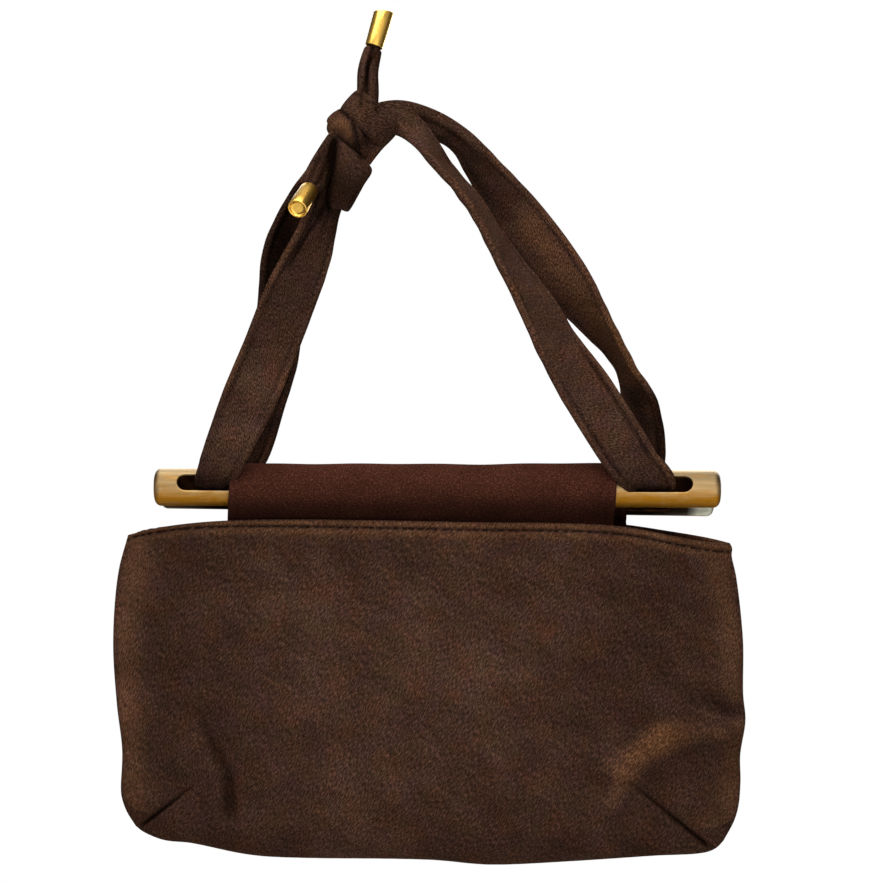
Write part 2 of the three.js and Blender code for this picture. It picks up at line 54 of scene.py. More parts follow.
# Points that measure a curve, the least span between its rows, and the sine waves of a ripple
CURVE_SAMPLES = 1500
SHORTEST_SPAN = 1e-6
RIPPLE_WAVES = 9

# Panels, in millimetres: the outline seen from the front as (x, z) rows
FRONT_TOP_EDGE = [
    (-118.3, -175.4), (-106.2, -172.3), (-91, -169.9), (-73, -168.4), (-41, -167.9), (28.7, -169),
    (97, -170.7), (122, -175.2), (140, -178.4), (148.4, -179),
]
BACK_TOP_EDGE = [
    (-118.3, -175.4), (-99.7, -172.4), (-73, -169.5), (-20, -168.6),
    (40, -169), (97, -170.8), (122, -174.1), (140, -177), (148.4, -179),
]
LEFT_EDGE = [
    (-118.3, -175.4), (-122.6, -192), (-124.9, -222), (-123.3, -250), (-120.9, -271),
    (-121.4, -289.6), (-120.2, -294.7), (-118.5, -298.6), (-114.9, -304.3),
]
RIGHT_EDGE = [
    (148.4, -179), (149.4, -181.2), (149.2, -184.5), (151.2, -194), (154.2, -222), (154.3, -246),
    (155.3, -257.6), (153, -272.8), (153.1, -284.7), (152.2, -295.4), (150.2, -302.2), (145.6, -310.8),
]
BOTTOM_EDGE = [
    (-114.9, -304.3), (-112, -306.6), (-106.4, -309.3), (-101.3, -310.8), (-90, -311.9), (-79.8, -313.9),
    (-68.5, -316.2), (-55, -317.8), (15, -319), (42, -321.2), (77, -319.8), (113, -317.6),
    (134.1, -316.6), (139.2, -315.6), (142.6, -313.9), (145.6, -310.8),
]
# Swell of a panel: shares of its width and height, and powers of its curves
MOUTH_TAPER = 0.17
BELLY_SQUARE = 2.4
BELLY_ROUND = 0.7
BELLY_START = 0.07
BELLY_FULL = 0.6
BOTTOM_SQUARE = 8
BOTTOM_ROUND = 0.5
SEAM_FADE = 6.0

# Grid lines of a panel: share of the way reached, and how many steps lead there
PANEL_COLUMNS = [(0.16, 58), (0.8, 180), (1.0, 72)]
PANEL_ROWS = [(0.07, 22), (0.72, 66), (1.0, 68)]

# Folds: points (x, z) along the fold, half width, rise at its first and at its last point
# A dent has negative rises. From FOLD_EASE of the way on, the rise eases down to FOLD_LEAST of itself.
FRONT_FOLDS = [
    (
        [(-85, -254.8), (-81, -263.3), (-73, -278.2), (-72.1, -284), (-71.6, -294.7), (-71.4, -306)],
        3.3, -1.6, -5.6,
    ),
    ([(-95, -264), (-84, -281), (-80, -296)], 7.0, 0.6, 1.2),
    ([(94, -291), (98, -281), (104, -273), (111, -266.4), (120, -260.4), (130, -253)], 8.4, 2.2, 4.8),
    ([(122, -263), (143, -261), (164, -262)], 6.5, 1.0, 4.8),
    ([(120, -240), (133, -246), (143, -250.4), (152, -255), (164, -260)], 6.4, -1.4, -5.6),
    ([(118, -232), (140, -236), (164, -240)], 10.0, 0.8, 2.2),
    ([(92, -279), (90.7, -283.4), (90, -289)], 2.8, -1.2, -3.2),
    ([(86.8, -276), (86, -281), (86.4, -286)], 2.8, -0.9, -2.0),
    ([(94, -265), (91.4, -273), (88.6, -281)], 5.0, 0.8, 1.6),
    ([(-110, -297), (-92, -282)], 7.0, 1.0, 0.6),
    ([(136, -304), (110, -282)], 8.0, 1.2, 0.8),
]
FOLD_EASE = 0.7
FOLD_LEAST = 0.15
BACK_FOLDS = [
    ([(118, -258), (98, -290)], 7.0, -3.0, -2.0),
    ([(-118, -262), (-86, -256)], 8.0, 2.4, 1.6),
    ([(-40, -286), (30, -300)], 14.0, 1.4, 1.4),
]
# Darts: outer and inner end (x, z), half width, depth
DARTS = [
    ([(-113.2, -304.7), (-87.6, -284.2)], 0.95, -3.4),
    ([(139.4, -313.4), (102.4, -281.9)], 1.05, -3.8),
]
DART_SHARP = 1.6
DART_RUN_OUT = 0.75
DART_DISH = 7.0
DART_DISH_DEPTH = -1.1

# Hem of the mouth, in millimetres: place x and height of the hem there, then its roll, groove and swell
HEM_HEIGHTS = [(-118, 1.6), (-95, 2.0), (-72, 2.6), (-40, 3.1), (20, 3.3), (90, 3.4), (148, 4.0)]
HEM_RISE = 0.9
HEM_ROUND = 0.85
HEM_GROOVE_HALF = 0.5
HEM_GROOVE_DEPTH = -0.8
HEM_GROOVE_LEAST = 0.15
HEM_SWELL = 2.4
HEM_SWELL_HALF = 2.0
HEM_SWELL_RISE = 0.5
HEM_SWELL_LEAST = 0.75
HEM_SWELL_BEAT = 0.5
HEM_FADE = 3.0
# Stitches of the hem: lengths of the two beats, share and start of the second, and how they are cut
HEM_STITCH = 3.5
HEM_STITCH_DRIFT = 5.7
HEM_DRIFT_SHARE = 0.7
HEM_DRIFT_START = 1.3
HEM_STITCH_STEEP = 3.0
HEM_STITCH_BIAS = 0.3
HEM_STITCH_DROP = 0.25
# Pucker of the seams: length of a wave, its rise, and the swell at which it comes and goes
PUCKER_LENGTH = 8.5
PUCKER_RISE = 0.3
PUCKER_START = 2.5
PUCKER_REACH = 4.0
RIPPLE_SEED = 7
RIPPLE_RISE = 0.32
RIPPLE_LENGTHS = (18, 70)

# Shade painted on a panel: darker darts, stitches, dents and sides; painted highlight on ridges, the hem
# and the swell below it, and painted sheen along the seams
CREASE_GAIN = 1.5
STITCH_DARK = 0.75
DENT_FROM = 0.5
DENT_SPAN = 3.8
DENT_DARK = 0.68
RIDGE_FROM = 1.2
RIDGE_SPAN = 2.6
HEM_HIGHLIGHT = 0.6
BELOW_HEM_HIGHLIGHT = 0.5
SEAM_SHEEN = 0.5
SEAM_SHEEN_SWELL = 4.0
SEAM_SHEEN_HALF = 4.0
SEAM_SHEEN_UNTIL = 0.9
SIDE_DARK = 0.15
SIDE_FROM = 0.3
SIDE_FULL = 0.7

# Tubes and slots, in millimetres and degrees
TUBE_X = 18.8
TUBE_Y = 10.9
TUBE_Z = -154.4
TUBE_ROUND = 2.9
BACK_TUBE_DROP = 3.2
BACK_TUBE_TILT = 0.82
FRONT_TUBE_TILT = 0.2
SLOT_WIDTH = 7.5
SLOT_LENGTH = 30.5
SLOT_INNER_LENGTH = 23.9
SLOT_LEFT_FROM_END = 10.5
SLOT_RIGHT_FROM_END = 12.6
SLOT_TILT = 18.0
TUBE_SIDES = 96
TUBE_CAP_RINGS = 5
TUBE_ARC_RINGS = 8
TUBE_STEPS = 250
SLOT_MARGIN = 3.2
SLOT_COLUMNS = 12
SLOT_RINGS = 4
# Blocks of faces that lie round the two slots on the side of the other tube; the ring next to these slots
# takes the dark bore material as painted shade
INNER_SLOT_BLOCKS = (2, 4)
# Softened slot edges: width in metres, steps, and the least angle of an edge in degrees
SLOT_EDGE_ROUND = 0.00035
SLOT_EDGE_STEPS = 2
SLOT_EDGE_ANGLE = 50
# Heights in metres of the brass: its pale edge of painted highlight, its top darkened as painted shade, its
# plain middle, and its foot, where the stains deepen as painted shade
TUBE_EDGE_Z = -0.1468
TUBE_EDGE_EASE = 0.0022
TUBE_TOP_Z = -0.1503
TUBE_MIDDLE_Z = -0.1545
TUBE_BROWN_Z = -0.1588
# In metres: where the back tube faces the front one and is painted dark as shade, where it is pale, and
# where its end face starts
TUBE_FACE_Y = 0.0105
TUBE_FACE_EASE = 0.003
PALE_END_X = 0.135
PALE_END_EASE = 0.005
END_FACE_X = 0.1424
END_FACE_EASE = 0.0014
# Pale brass of the top edge, a painted highlight
BRASS_EDGE = (0.44, 0.315, 0.165, 1.0)
# Painted shade on the back tube where it faces the front one
BACK_TUBE_DARK = (0.05, 0.03, 0.012, 1.0)
BACK_TUBE_PALE = (0.75, 0.74, 0.6, 1.0)

# Sleeves, in millimetres: size, grid, ripple, turned-in ends with their stitches, shade and skew
SLEEVE_EASE = 0.5
SLEEVE_LEFT = -71.3
SLEEVE_RIGHT = 96.3
SLEEVE_TAIL = 30.0
SLEEVE_COLUMNS = [(0.03, 8), (0.97, 70), (1.0, 8)]
SLEEVE_ARC_POINTS = 64
SLEEVE_SIDE_STEPS = 6
SLEEVE_TAIL_STEPS = 8
SLEEVE_SEED = 11
SLEEVE_RIPPLE = 0.22
SLEEVE_RIPPLE_LENGTHS = (9, 30)
SLEEVE_STRETCH = 0.35
SLEEVE_CALM = 4
SLEEVE_HEM_IN = 1.6
SLEEVE_HEM_HALF = 1.3
SLEEVE_HEM_RISE = 0.32
SLEEVE_STITCH_IN = 3.8
SLEEVE_STITCH_HALF = 0.6
SLEEVE_STITCH_DEPTH = -0.25
SLEEVE_STITCH_SHADE = 0.15
SLEEVE_STITCH_SHADE_HALF = 0.7
SLEEVE_LOW_SHADE = 0.75
SLEEVE_LOW_SPAN = (2.0, 11.0)
SLEEVE_SKEW = 1.2
SLEEVE_SKEW_REACH = 0.2
# Each loop: where its two sides join below the tube, how far it is moved, and how askew its right end is
FRONT_LOOP = {"join": 14.3, "shift": 0.0, "right_skew": 0.3}
BACK_LOOP = {"join": 11.0, "shift": 6.0, "right_skew": -0.9}

# Strap rows: middle of the band (x, y, z), width, thickness, lean and swing in degrees
FRONT_LEFT = [
    (-19, -9, -7, 20, 5, -38, 0),
    (-28.2, -10.5, -24, 17, 4, -24, 25),
    (-31.8, -12.5, -36, 19, 3.2, -22, 42),
    (-37.2, -15, -52.7, 22.6, 2.8, -21, 34),
    (-45.6, -17.5, -72.5, 24, 2.8, -20, 20),
    (-53.5, -20.5, -93.5, 23.5, 2.8, -21, 10),
    (-62.7, -23, -116, 23.5, 2.8, -21, 0),
    (-71.6, -24.4, -136.5, 20, 3, -18, 0),
    (-75.6, -21.4, -145.6, 18.4, 3.4, -12, 0),
]
BACK_LEFT = [
    (-74, 21.4, -148.4, 19, 3.4, -8, 0),
    (-68.5, 24.4, -138, 22, 3, -15, 0),
    (-61.6, 22.5, -115, 23.4, 2.8, -14, 12),
    (-54.6, 19.5, -92.5, 24, 2.8, -10, 28),
    (-52, 16.5, -70, 23, 2.8, -6, 34),
    (-49.4, 13.5, -48, 22, 2.8, -12, 30),
    (-39.4, 11, -26.6, 19.6, 3, -26, 30),
    (-25.2, 9, -8.6, 19, 3.4, -50, 24),
    (-13, 7.5, 6, 17, 4, -68, 20),
]
BACK_HANG = [(0, 6.5, 11, 15, 4.2, -90, 22)]
BACK_RIGHT = [
    (14, 7, 8.4, 13.5, 4.4, -108, 24),
    (29, 8, 0.4, 12.8, 3.6, -128, 34),
    (39.8, 10, -13, 20, 3, -134, 44),
    (56.3, 12.5, -35.8, 24.6, 2.8, -142, 16),
    (73.3, 15, -57.3, 23.9, 2.8, -149, 18),
    (88.4, 18, -78.3, 23.5, 2.8, -151, 54),
    (99.6, 20.2, -93, 23.5, 2.8, -150, 75),
    (105.6, 21.4, -104, 23.2, 2.8, -155, 74),
    (110.4, 22.9, -117, 23, 2.8, -166, 50),
    (112.9, 24.4, -138, 20, 3, -176, 20),
    (112.2, 21.4, -149, 18.6, 3.4, -178, 0),
]
FRONT_RIGHT = [
    (105.4, -21.4, -145.8, 21.4, 3.4, -158, 0),
    (98, -24.4, -135.4, 23, 3, -150, 0),
    (85.5, -23, -115.4, 23.2, 2.8, -149, -6),
    (71.9, -20, -93.5, 24.5, 2.8, -151, -37),
    (60.6, -17, -72.4, 24.5, 2.8, -152, -49),
    (47.3, -14, -50.8, 24, 2.8, -151, -66),
    (34, -11, -28.4, 23, 2.8, -146, -72),
    (21, -9, -13.1, 21, 3, -138, -71),
    (10.7, -7.5, 0.7, 14.8, 3.6, -118, -44),
]
FRONT_HANG = [(0, -6.5, 7.6, 15.4, 4.4, -90, -16)]
INTO_KNOT = [(-10, -7.5, 3, 19, 5, -58, -6)]
LEFT_PASS = (-78.8, 15.6, 3.4, 0)
RIGHT_PASS = (112.1, 20.2, 3.4, -180)
# How far the strap lies inside the tube's face and above the middle of the slot as it passes in
PASS_IN = 1.6
PASS_LIFT = 0.7
PASS_SAG = 0.9
STRAP_WIDTH = 23.5
STRAP_STEPS = 11
STRAP_SIDES = 96
PATH_NUDGE = 0.02
BACK_FACE_MAP = 40.0
SHOULDER_ROUND = 1.3
SHOULDER_LEAST = 0.6
# Edges of the strap: a rolled edge with a stitched groove beside it, on bands that are wide enough
EDGE_GATE_FROM = 7.5
EDGE_GATE_SPAN = 3.0
EDGE_ROLL = 0.42
EDGE_GROOVE = -0.45
EDGE_LEAST = 0.25
EDGE_DRIFT = 17.0
EDGE_SIDE_PHASE = 1.9
EDGE_ROLL_IN = 1.7
EDGE_ROLL_HALF = 1.1
EDGE_GROOVE_IN = 3.5
EDGE_GROOVE_HALF = 0.7
# Painted shade in the stitched groove, and painted sheen along the very edge in the wool's highlight colour
EDGE_DARK = 0.45
EDGE_SHEEN = 0.4
EDGE_SHEEN_IN = 0.8
EDGE_SHEEN_HALF = 1.1
# Gathers and ripples of the strap
GATHER_RISE = 1.21
GATHER_WAVES = 2.4
GATHER_MOST = 0.6
GATHER_DRIFT = 60
STRAP_SEED = 5
STRAP_RIPPLE = 0.25
STRAP_RIPPLE_LENGTHS = (9, 40)
STRAP_RIPPLE_HALF = 8
GROOVE_EASE = 0.6
GROOVE_MOST = 0.75
# Painted shade in the pressed grooves and on the closed ends of a band
GROOVE_DARK = 0.35
END_SHADE = 0.3
END_MAP_STEP = 0.3

# Loops of the knot: middle, half sizes across and front to back, width and thickness of the band,
# its lean, and how far its flat section is puffed to an ellipse
WRAP = {
    "x": -10.9, "y": -9, "z": 7.4, "across": 11, "deep": 8.6,
    "width": 13.6, "thick": 4.2, "lean": -131, "puff": 0.6,
}
ROLL = {
    "x": -21.2, "y": -11.4, "z": 2.2, "across": 7.4, "deep": 7,
    "width": 10, "thick": 4.2, "lean": -146, "puff": 0.8,
}
RING_ROWS = 14
# Fold of the roll: rows of four points (x, y, z) from its lower edge to the crease above it
ROLL_FOLD = [
    [(-27.9, -11, -0.5), (-29.7, -11, 2.8), (-28.5, -11, 7.2), (-24.8, -11, 10.8)],
    [(-25.6, -19, -1.2), (-26.3, -21, 1.9), (-25, -20.5, 5.6), (-22.5, -17, 9.2)],
    [(-23, -20.5, -2.8), (-22.2, -23, 0.9), (-21.3, -22.5, 4.3), (-19.9, -17.5, 7.4)],
    [(-20.1, -20, -5.1), (-18.8, -22.5, -2.3), (-18, -21.5, 1.2), (-17.3, -17, 3.9)],
    [(-17.2, -17, -7.6), (-16.6, -18.5, -5.7), (-16.4, -18, -3), (-16.3, -15.5, -0.6)],
    [(-15.7, -13, -8.5), (-15.5, -13, -7.5), (-15.5, -13, -6.9), (-15.5, -13, -5.9)],
]
# Ear below the knot: rows of four points (x, y, z) from its left edge to its right edge
EAR = [
    [(-26.5, -17, -0.8), (-25.6, -19, -1), (-24.7, -19, -1.2), (-23.8, -17.5, -1.5)],
    [(-26.3, -17, -7.4), (-23.6, -21.5, -7.1), (-20.3, -22, -6.8), (-17.5, -18, -7.3)],
    [(-26.5, -16.5, -14.7), (-22.3, -22.5, -14.2), (-16.3, -22.5, -12.9), (-12.2, -17, -12.1)],
    [(-27.6, -15.5, -21.2), (-22.3, -21.5, -21.3), (-15, -21.5, -19.3), (-9.6, -16, -16.3)],
    [(-29.2, -15, -27.1), (-23.7, -19.5, -27.7), (-17.7, -20, -25.8), (-13.2, -16.5, -22.7)],
    [(-27.6, -15.5, -32.5), (-23.8, -18, -33.2), (-20.2, -18, -34.2), (-18.3, -16, -31.9)],
]
FOLD_STEPS = 14
# Painted shade on the strap: points (x, z), half width, darkness, and the side that they lie on: -1 front,
# 1 back.
# A negative darkness is a painted highlight, lighter in the wool's highlight colour.
PAINTED_STRAP_SHADE = [
    ([(-23.4, 10.6), (-18.2, 5.3), (-16.6, -0.2), (-16.4, -6.1), (-14.2, -10.8)], 1.35, 1.0, -1),
    ([(-17.2, 17.9), (-13.5, 16), (-11.5, 13.2), (-7.4, 12.6)], 0.9, 0.7, -1),
    ([(-11.5, 11.8), (-11.5, -2.2), (-12.2, -9.5)], 1.0, 0.35, -1),
    ([(-25.4, -4), (-27.2, -14), (-28.4, -22), (-29.4, -31)], 2.6, 1.0, -1),
    ([(-27.5, -1.4), (-23.4, -2.2), (-19.4, -5.6), (-14.6, -10.2)], 0.8, 0.7, -1),
    ([(-27, -22), (-18, -29)], 9.0, 0.65, -1),
    ([(-27, 3), (-22, 3.5), (-19, -1)], 4.0, -0.6, -1),
    ([(-7, 38), (-11.5, 32), (-13.9, 18.8), (-14.4, 12)], 1.1, 0.75, -1),
    ([(-6.2, 35), (-7.2, 22), (-7.4, 10)], 1.8, 0.65, -1),
    ([(-15.6, 33), (-16.6, 22)], 0.9, 0.5, -1),
    ([(-27, -4), (-31, -13), (-35, -22)], 3.6, 0.35, -1),
    ([(-29.5, -29), (-33, -36.5)], 2.0, 0.9, -1),
    ([(-33, -36.5), (-39, -46.5), (-45, -57.5)], 0.8, 0.75, -1),
    ([(-84.5, -144), (-81, -134), (-73.5, -114)], 1.6, 0.45, -1),
    ([(-88, -151.5), (-68, -152.5)], 4.6, 0.6, -1),
    ([(98, -155), (118, -155)], 3.2, 0.5, -1),
    ([(-29.5, -3), (-35, -10), (-42, -20)], 4.5, 0.8, 1),
    ([(-44, -22), (-51, -34), (-52.4, -50), (-58, -67)], 9.0, 0.88, 1),
    ([(-47, -96), (-57, -120), (-66, -142)], 8.0, 0.65, 1),
    ([(14, 2), (34, -14), (50, -34)], 4.0, 0.45, 1),
    ([(16.8, 11.9), (24.1, 7.8), (29.1, 5.9), (31.9, 1.3), (38.7, -2.3), (43.3, -7.8)], 1.1, -0.7, 1),
    ([(20.5, 14), (28, 9.6), (35, 4.4), (42, -2)], 1.2, 0.5, 1),
    ([(22, 2.6), (27.5, 1), (31, -5), (35.5, -9)], 2.4, 0.5, 1),
    ([(60, -36), (82, -66), (97, -85), (107, -104)], 6.0, -0.6, 1),
    ([(107, -112), (112, -126), (114, -140)], 3.6, 0.6, 1),
    ([(117.5, -112), (120.3, -128), (121.5, -142)], 3.0, 0.85, 1),
]
MARK_FROM = 5.0
# Wall of a fold in the knot, in metres
FOLD_WALL = 0.0024
# Tails: rows as those of the strap
LOWER_TAIL = [
    (-25.6, -18, -0.2, 4.6, 4, -4, 0),
    (-28.7, -19.2, -6.8, 6.8, 4.6, -18, 8),
    (-31, -19.6, -13.1, 9.6, 4.8, -22, 12),
    (-33.7, -20.6, -20, 11, 5, -30, 10),
]
UPPER_TAIL = [
    (-13, -11, 8, 11, 6.4, 0, 0),
    (-11.8, -8, 19, 9.8, 6.4, -2, 0),
    (-11.7, -6.2, 29, 9.2, 6.4, -7, 0),
]
# Grooves between the gathered folds of a band: first row, last row, place across, half width, depth
# The strap's rows run from the knot down the front left strand, and back up the front right strand.
STRAP_GROOVES = [
    (0.6, 3.4, -0.6, 1.0, 1.2),
    (0.2, 2.8, 0.84, 0.9, 0.9),
    (0.4, 2.7, 0.22, 1.3, 1.0),
    (39.8, 41.8, 0.7, 0.9, 1.1),
    (40.0, 43.0, -0.66, 0.8, 0.9),
]
LOWER_TAIL_GROOVES = [(0.2, 4.4, 0.3, 0.9, 1.0), (1.4, 4.4, -0.45, 0.8, 0.8)]
UPPER_TAIL_GROOVES = [(0.0, 4.0, -0.02, 0.8, 1.9)]
LOWER_PUFF = 0.7
UPPER_PUFF = 0.8
# Tips: open end (x, y, z), direction, lean of the gathered tail in it
LOWER_TIP = ((-36.4, -24.2, -25.6), (-0.27, -0.755, -0.598), -34)
UPPER_TIP = ((-9.2, -4.7, 40), (0.27, 0.08, 0.96), -15)
UPPER_SLANT = -0.2
TIP_SLANT_FROM = 0.6
TIP_FLARE = 0.8
TIP_WALL = 0.6
TIP_INSET = 1.0
TIP_GRIP = 7.0
TIP_BORE_DEPTH = 8.0
TIP_BORE_LEAD = 0.6
TIP_BORE_SHARES = (0.0, 0.6, 1.0)
TIP_WALL_SHARES = (0.3, 0.7)
TIP_LIP = 0.28
TIP_RIM = 0.42
TIP_ARC_POINTS = 5
# Sunk end: steps (down from the rim, in from its wall), then (up from the end, share of the radius)
TIP_RECESS = [(0.05, 0.1), (0.4, 0.3), (TIP_INSET, 0.5)]
TIP_END = [(0.05, 0.5), (0.08, 0.0)]
# A direction whose z is over this counts as upright
TIP_STEEP = 0.9
TIP_NECK = 1.8
TIP_FILL = 0.92
TIP_FLAT = 0.86
TIP_SIDES = 56

# Materials: a noise is (scale, detail, roughness, distortion), a range (from low, high, to low, high)
# Turns are in degrees about each axis, and sizes and depths are in metres.
STROKE_TURN = (0, 0, 61)
STROKE_SIZE = (0.0018, 0.0005)
STROKE_NOISE = (1.0, 0.7, 0.5, 0.3)
GRAIN_NOISE = (2200.0, 1.0, 0.5)
STROKE_SHARE = 0.78
GRAIN_SHARE = 0.22
STROKE_SPAN = (0.34, 0.66)
STROKE_POWER = 1.8
STROKE_DARK = 0.43
STROKE_LIGHT = 1.2
STROKE_BUMP = 0.4
STROKE_DEPTH = 0.0004
WOOL_RED = ((78.0, 3.0, 0.55, 0.4), (0.42, 0.72, 0.0, 0.7))
GREY_TURN = (0, 0, 31)
WOOL_GREY = ((92.0, 3.0, 0.55, 0.3), (0.42, 0.72, 0.0, 0.78))
WOOL_SLOW = ((26.0, 2.0), (0.35, 0.65, 0.84, 1.16))
HEATHER_TURN = (0, 0, 57)
HEATHER_SIZE = (1.0, 1.6, 1.0)
WOOL_HEATHER = ((74.0, 3.0, 0.62, 0.2), (0.33, 0.67, 0.8, 1.2))
# How far the wool's highlight colour is mixed in as painted highlight, and how dark painted shade makes the
# wool
HIGHLIGHT_MOST = 0.9
WOOL_DEEP = 0.1
WOOL_FINISH = {
    "Roughness": 0.95, "Specular IOR Level": 0.0, "Sheen Weight": 0.03, "Sheen Roughness": 0.4,
    "Sheen Tint": (0.85, 0.5, 0.32, 1.0),
}
STRAP_STROKE = 0.66
STRAP_CONTRAST = 1.35
STRAP_TONE = 0.92
THREAD_SIZE = (0.0018, 0.00035, 1.0)
THREAD_NOISE = (1.0, 1.5, 0.6)
THREAD_SPAN = (0.45, 0.72, 0.45, 1.2)
THREAD_BUMP = 0.4
THREAD_DEPTH = 0.0002
SLEEVE_SPECKS = ((1350.0, 1.0, 0.5), (0.52, 0.72, 0.0, 1.1))
SLEEVE_SLOW = ((70.0, 3.0), (0.3, 0.7, 0.82, 1.16))
# How dark painted shade makes the sleeve cloth
SLEEVE_DEEP = 0.3
SLEEVE_FINISH = {
    "Roughness": 0.85, "Specular IOR Level": 0.0, "Sheen Weight": 0.03,
    "Sheen Tint": (0.9, 0.45, 0.35, 1.0),
}
# Each texture of the brass: its size along and across the tube, and its noise
BRASS_STREAKS = ((0.022, 0.0005, 0.0005), (1.0, 3.0, 0.6))
BRASS_SCRATCHES = ((0.008, 0.00018, 0.00018), (1.0, 2.0, 0.6))
BRASS_BLOTS = ((0.012, 0.004, 0.004), (1.0, 4.0, 0.65, 0.8))
STREAK_LIGHT = (0.3, 0.7, 0.82, 1.12)
# How far the stains are pushed towards the foot, as painted shade
FOOT_SHADE = 0.5
STAIN_SPAN = (0.5, 1.0)
STAIN_ROUGH = 0.1
SCRATCH_ROUGH = (0.3, 0.7, 0.44, 0.58)
SCRATCH_BUMP = 0.12
SCRATCH_DEPTH = 0.0001
METAL_FINISH = {"Metallic": 1.0}
BORE_BLOTS = ((190.0, 3.0), (0.4, 0.7))
BORE_DARK = (0.03, 0.011, 0.004, 1.0)
BORE_RUST = (0.09, 0.03, 0.009, 1.0)
BORE_FINISH = {"Roughness": 0.8, "Specular IOR Level": 0.1}
GILT_CLOUD = (140.0, 2.0, 0.5)
GILT_LIGHT = (0.3, 0.7, 0.92, 1.04)
GILT_BUMP = 0.02
GILT_DEPTH = 0.0002
RUB_TURN = (20, 35, 0)
RUB_SIZE = (0.004, 0.0004, 0.0004)
RUB_NOISE = (1.0, 2.0)
RUB_ROUGH = (0.3, 0.7, 0.27, 0.33)
FLOOR_CLOUD = ((2.0, 2.0), (0.3, 0.7))
FLOOR_DIM = (0.8, 0.8, 0.79, 1.0)
FLOOR_PALE = (0.84, 0.84, 0.83, 1.0)
FLOOR_FINISH = {"Roughness": 0.9}

# Camera and stage, in metres
CAMERA_PLACE = (0.0206, -0.9, -0.134)
CAMERA_LENS = 82.8
CAMERA_SENSOR = 36.0
CAMERA_CLIP = (0.01, 50.0)
FLOOR_Z = -1.3
FLOOR_RADIUS = 1.3
FLOOR_RINGS = 24
FLOOR_SIDES = 96
BACKDROP = (1.0, 1.0, 1.0, 1.0)
SURROUND = (0.09, 0.09, 0.09, 1.0)
LIGHT_AIM = (0.02, 0.0, -0.16)
# Lights: name, place, size in metres, power in watts
LIGHTS = [
    ("key", (-0.16, -0.55, 1.0), 1.7, 41.0),
    ("side", (-1.25, -0.8, 0.15), 1.0, 2.0),
    ("right", (1.2, -0.9, 0.0), 1.2, 1.5),
    ("fill", (0.3, -1.7, -0.6), 2.0, 19.0),
    ("back", (0.3, 1.5, 0.5), 1.6, 38.0),
]


class PurseSizes(bpy.types.PropertyGroup):
    """Sizes of the purse that a user may change."""

    wall: FloatProperty(
        name="Cloth wall", description="Thickness of the sewn wool layers", default=0.002, unit="LENGTH"
    )
    mouth: FloatProperty(
        name="Mouth depth", description="From the middle plane to a panel at the mouth",
        default=0.0154, unit="LENGTH",
    )
    belly: FloatProperty(
        name="Belly depth", description="From the middle plane to a panel at its fullest",
        default=0.024, unit="LENGTH",
    )
    sleeve_wall: FloatProperty(
        name="Sleeve wall", description="Thickness of the sleeve cloth", default=0.002, unit="LENGTH"
    )
    tube_diameter: FloatProperty(
        name="Tube diameter", description="Outside of a brass tube", default=0.0164, unit="LENGTH"
    )
    tube_length: FloatProperty(
        name="Tube length", description="Length of a brass tube", default=0.247, unit="LENGTH"
    )
    tube_wall: FloatProperty(
        name="Tube wall", description="Wall of a brass tube", default=0.0012, unit="LENGTH"
    )
    tip_diameter: FloatProperty(
        name="Tip diameter", description="Open end of a brass tip", default=0.008, unit="LENGTH"
    )
    tip_length: FloatProperty(
        name="Tip length", description="Length of a brass tip", default=0.016, unit="LENGTH"
    )


class PurseColours(bpy.types.PropertyGroup):
    """Colours of the purse that a user may change."""

    wool: FloatVectorProperty(
        name="Wool", description="Main brown of the wool", subtype="COLOR", default=(0.0337, 0.0176, 0.0107)
    )
    wool_red: FloatVectorProperty(
        name="Wool red", description="Reddish patches of the wool",
        subtype="COLOR", default=(0.0461, 0.0167, 0.0091),
    )
    wool_grey: FloatVectorProperty(
        name="Wool grey", description="Cool patches of the wool",
        subtype="COLOR", default=(0.0356, 0.0168, 0.0142),
    )
    # A lighter orange-brown, mixed in as painted highlight where the shade is below 0
    wool_highlight: FloatVectorProperty(
        name="Wool highlight", description="Painted highlight on edges and ridges",
        subtype="COLOR", default=(0.09, 0.0395, 0.0178),
    )
    sleeve: FloatVectorProperty(
        name="Sleeve", description="Red-brown of the sleeves",
        subtype="COLOR", default=(0.046, 0.0152, 0.0094),
    )
    brass: FloatVectorProperty(
        name="Brass", description="Satin brass of the tubes", subtype="COLOR", default=(0.455, 0.3, 0.134)
    )
    # Darker brass along the top, painted shade
    brass_top: FloatVectorProperty(
        name="Brass top", description="Brass along the top of the tubes, darkened as painted shade",
        subtype="COLOR", default=(0.145, 0.1, 0.05),
    )
    # Stains, deepened towards the foot as painted shade
    stain_and_shade: FloatVectorProperty(
        name="Brass stain", description="Orange-brown stains on the tubes, deeper at the foot as painted shade",
        subtype="COLOR", default=(0.42, 0.185, 0.014),
    )
    gilt: FloatVectorProperty(
        name="Tips", description="Polished brass of the tips", subtype="COLOR", default=(0.92, 0.55, 0.11)
    )


# Shapes


def smoothstep(low, high, value):
    """Eased share of the way from low to high: 3t^2 - 2t^3, with t held between 0 and 1."""
    share = np.clip((value - low) / (high - low), 0.0, 1.0)
    return share * share * (3.0 - 2.0 * share)


def bell(off, half):
    """A bell of height 1: exp(-(distance / half width)^2)."""
    return np.exp(-((off / half) ** 2))


def unit(vectors):
    """Vectors divided by their own lengths."""
    return vectors / np.linalg.norm(vectors, axis=-1, keepdims=True)


